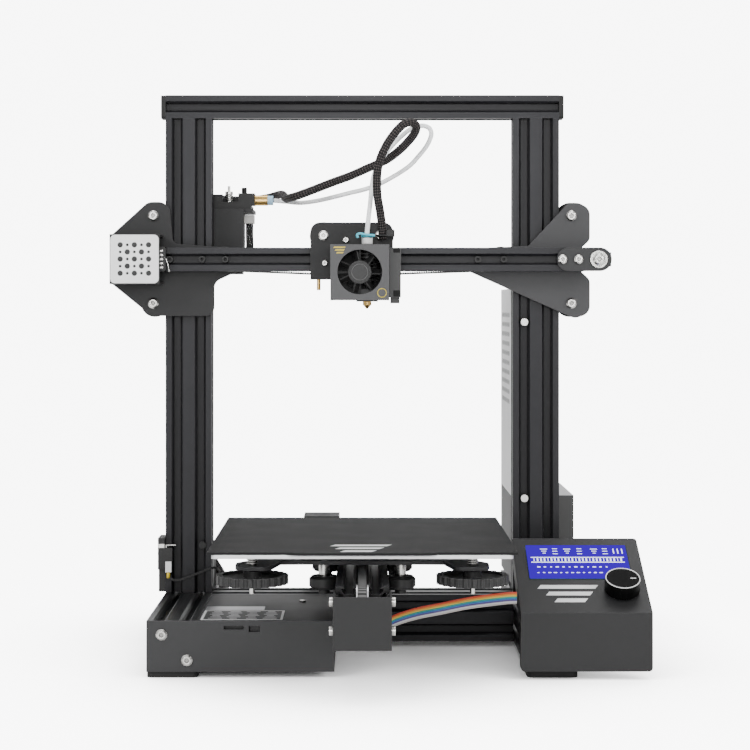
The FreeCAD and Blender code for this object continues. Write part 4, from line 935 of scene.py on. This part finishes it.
def screen_ink():
    """The pale, glowing marks on the screen."""
    s = Surface("screen_ink")
    tone = s.noise(800, 1)
    s.set("Base Color", s.mix(tone, (0.55, 0.62, 0.95), (0.75, 0.80, 1.0)))
    s.set("Emission Color", (0.75, 0.80, 1.0, 1))
    s.set("Emission Strength", 1.0)
    s.set("Roughness", s.between(tone, 0.3, 0.5))
    return s


def add_screen():
    """Lit blue glass with a frame of generic meters, rows and dashes, and no lettering."""
    pane = rounded_plate("screen_glass", on_slope(175.5, 68.7, 0.42), ON_SLOPE, 82, 46.8, 1, 0.25)
    add_piece("screen_glass", pane, "frame", screen_glow())
    marks = []

    def mark(across, up, wide, high, radius=0.2):
        spot = on_slope(across, up, 0.70)
        marks.append(rounded_plate("mark", spot, ON_SLOPE, wide, high, radius, 0.03, steps=2))

    for across in (149, 168, 190):
        for ring in range(3):
            mark(across, 86.5 - ring * 2.9, 6 - ring * 1.8, 0.8)
    for across in (158, 178, 199):
        for row in range(3):
            mark(across, 87 - row * 3.6, 4.2, 0.8)
    for across in (206, 209.5, 213):
        mark(across, 83.5, 0.9, 7)
    for up in (74.6, 67.8):
        mark(175.5, up, 76, 1.1, 0.1)
    for number in range(26):
        mark(140 + number * 2.84, 71.2, 1.3 if number % 4 else 0.6, 4.6)
    for number in range(12):
        mark(143 + number * 5, 61.2, 2.6 - (number % 3) * 0.7, 1.5)
        mark(142 + number * 4.6, 53.2, 1.6 + (number % 4) * 0.4, 1.1)
    add_piece("screen_marks", join_meshes("screen_marks", marks), "frame", screen_ink())


def add_emblems():
    """Plain generic marks: three slanted bars on the display face and three near the bed's front edge."""
    white = plastic("printed_white", shade(0.80), 0.45, 0.00001)
    bars = slanted_bars(ON_SLOPE, on_slope(139.5, 32, 0.02), (6, -9), (46, 35, 24), (3, 5))
    add_piece("display_emblem", join_meshes("display_emblem", bars), "frame", white)
    bars = slanted_bars(ON_TOP, at(-25, -180, 107), (4, -17), (44, 34, 24), (4, 9))
    add_piece("bed_emblem", join_meshes("bed_emblem", bars), "bed", plastic("bed_print", shade(0.75), 0.5))


def add_knob_marks():
    """A pale ring round the display knob's face and a short pointer."""
    centre = on_slope(206.3, 28, 13)
    pale = plastic("knob_ring_ink", shade(0.85), 0.3, 0.00001)
    ring = ring_mesh("knob_ring", centre, ON_SLOPE, 13.4, 56, 0.42, 8)
    add_piece("knob_ring", ring, "display_knob", pale)
    near, far = centre + RIGHT * 6 * MM, centre + RIGHT * 10.5 * MM
    across = SLOPE_UP * 0.5 * MM
    outline = [near - across, far - across, far + across, near + across]
    pointer = plate_mesh("knob_pointer", outline, SLOPE_OUT, 0.06 * MM)
    add_piece("knob_pointer", pointer, "display_knob", pale)


def add_rating_plate():
    """A blank header and a framed plate of unlettered dashes on the control box's lid."""
    silver = metal_surface("rating_plate", (0.55, 0.55, 0.57), 0.35)
    white = plastic("rating_border", shade(0.75), 0.4)
    dark = plastic("rating_field", shade(0.03), 0.45)
    lid_top = 44.9
    header = rounded_plate("rating_header", at(-104, -93, lid_top), ON_TOP, 48, 18, 1, 0.15)
    add_piece("rating_header", header, "frame", silver)
    border = rounded_plate("rating_plate", at(-95.5, -127, lid_top), ON_TOP, 65, 46, 1, 0.15)
    add_piece("rating_plate", border, "frame", white)
    field = rounded_plate("rating_field", at(-95.5, -127, lid_top + 0.15), ON_TOP, 61, 41, 1, 0.05)
    add_piece("rating_field", field, "frame", dark)
    rules = []
    for row in range(6):
        for column in range(4):
            spot = at(-117 + column * 14.5, -143 + row * 6.4, lid_top + 0.22)
            wide = 11.2 - (row + 2 * column) % 3 * 2.6
            rules.append(rounded_plate("rule", spot, ON_TOP, wide, 2.6, 0.5, 0.03))
    add_piece("rating_rules", join_meshes("rating_rules", rules), "frame", silver)


# ---------------------------------------------------------------- stage
def add_floor():
    """A pale floor that curves up into a backdrop; it looks white to the camera, with a painted shadow that
    darkens it near the part.
    """
    front_edge, bend_start, bend_radius, top, half_wide = -6.0, 1.6, 1.2, 6.0, 6.0
    profile = [(front_edge, 0.0), (bend_start, 0.0)]
    for a in (0.3, 0.6, 0.9, 1.2, math.pi / 2):
        profile.append((bend_start + bend_radius * math.sin(a), bend_radius * (1 - math.cos(a))))
    profile.append((bend_start + bend_radius, top))
    mesh = bmesh.new()
    rows = [[mesh.verts.new((x, y, z)) for y, z in profile] for x in (-half_wide, half_wide)]
    for n in range(len(profile) - 1):
        face = mesh.faces.new((rows[0][n], rows[0][n + 1], rows[1][n + 1], rows[1][n]))
        face.smooth = True
    mesh.normal_update()
    floor = bpy.data.objects.new("studio_floor", mesh_data("studio_floor", mesh))
    bpy.context.scene.collection.objects.link(floor)
    s = Surface("studio_paper")
    s.set("Base Color", s.mix(s.noise(3), (0.90, 0.90, 0.90), (0.94, 0.94, 0.94)))
    s.set("Roughness", 0.8)
    seen = s.add("ShaderNodeLightPath").outputs["Is Camera Ray"]
    shadow = s.add("ShaderNodeAmbientOcclusion", samples=16)
    shadow.inputs["Distance"].default_value = 0.16
    # Painted shadow: the white glow that the camera sees fades where the part closes in over the floor.
    glow = s.maths("MULTIPLY", s.maths("POWER", shadow.outputs["AO"], 1.6), BACKDROP_GLOW)
    s.set("Emission Color", (1, 1, 1, 1))
    s.set("Emission Strength", s.maths("MULTIPLY", seen, glow))
    floor.data.materials.append(s.material)


def add_sky():
    """Soft light all round, stronger from above, that looks white to the camera."""
    world = bpy.data.worlds.new("studio_light")
    bpy.context.scene.world = world
    world.use_nodes = True
    tree = world.node_tree
    sky = tree.nodes["Background"]
    sky.inputs["Color"].default_value = (1, 1, 1, 1)
    split = tree.nodes.new("ShaderNodeSeparateXYZ")
    tree.links.new(tree.nodes.new("ShaderNodeTexCoord").outputs["Generated"], split.inputs[0])
    rise = tree.nodes.new("ShaderNodeMapRange")
    tree.links.new(split.outputs["Z"], rise.inputs["Value"])
    for field, value in (("From Min", -0.1), ("From Max", 0.8), ("To Min", 0.45), ("To Max", 0.9)):
        rise.inputs[field].default_value = value
    seen = tree.nodes.new("ShaderNodeMath")
    seen.operation = "MULTIPLY_ADD"
    tree.links.new(tree.nodes.new("ShaderNodeLightPath").outputs["Is Camera Ray"], seen.inputs[0])
    seen.inputs[1].default_value = BACKDROP_GLOW
    tree.links.new(rise.outputs[0], seen.inputs[2])
    tree.links.new(seen.outputs[0], sky.inputs["Strength"])


def add_lamps():
    """Four square lamps, each a place in metres, a side and a power, that face the part."""
    aim = Vector((0, 0, 0.2))
    left, right = ((-1.7, -1.7, 1.7), 1.0, 42), ((1.9, -1.4, 1.2), 0.9, 34)
    above, front = ((0.2, 0.6, 2.6), 1.6, 30), ((0.0, -2.8, 0.7), 0.8, 22)
    for number, (spot, side, power) in enumerate((left, right, above, front)):
        lamp = bpy.data.lights.new(f"lamp_{number}", "AREA")
        lamp.size = side
        lamp.energy = power
        item = bpy.data.objects.new(f"lamp_{number}", lamp)
        item.location = spot
        item.rotation_euler = (aim - Vector(spot)).to_track_quat("-Z", "Y").to_euler()
        bpy.context.scene.collection.objects.link(item)


def add_camera():
    """A level camera straight in front, its frame shifted to take in the part."""
    distance, eye_height = 1637, 292.8
    camera = bpy.data.cameras.new("camera")
    camera.lens = 90.4
    camera.sensor_width = 36
    camera.shift_x = 0.0169
    camera.shift_y = -0.092
    camera.clip_end = 30
    viewer = bpy.data.objects.new("camera", camera)
    viewer.location = at(0, -distance, eye_height)
    viewer.rotation_euler = (math.pi / 2, 0, 0)
    bpy.context.scene.collection.objects.link(viewer)
    bpy.context.scene.camera = viewer


paint_frame()
paint_motors()
paint_drive()
paint_wheels_and_knobs()
paint_extruder()
paint_carriage()
paint_bed()
paint_electronics()
add_hoses()
add_ribbon()
add_leads()
add_carriage_belt()
add_springs()
add_hot_end_clip()
add_ties()
add_cover_label()
add_carriage_switch()
add_fan_label()
add_blower_slots()
add_shroud_accent()
add_screen()
add_emblems()
add_knob_marks()
add_rating_plate()
add_floor()
add_sky()
add_lamps()
add_camera()
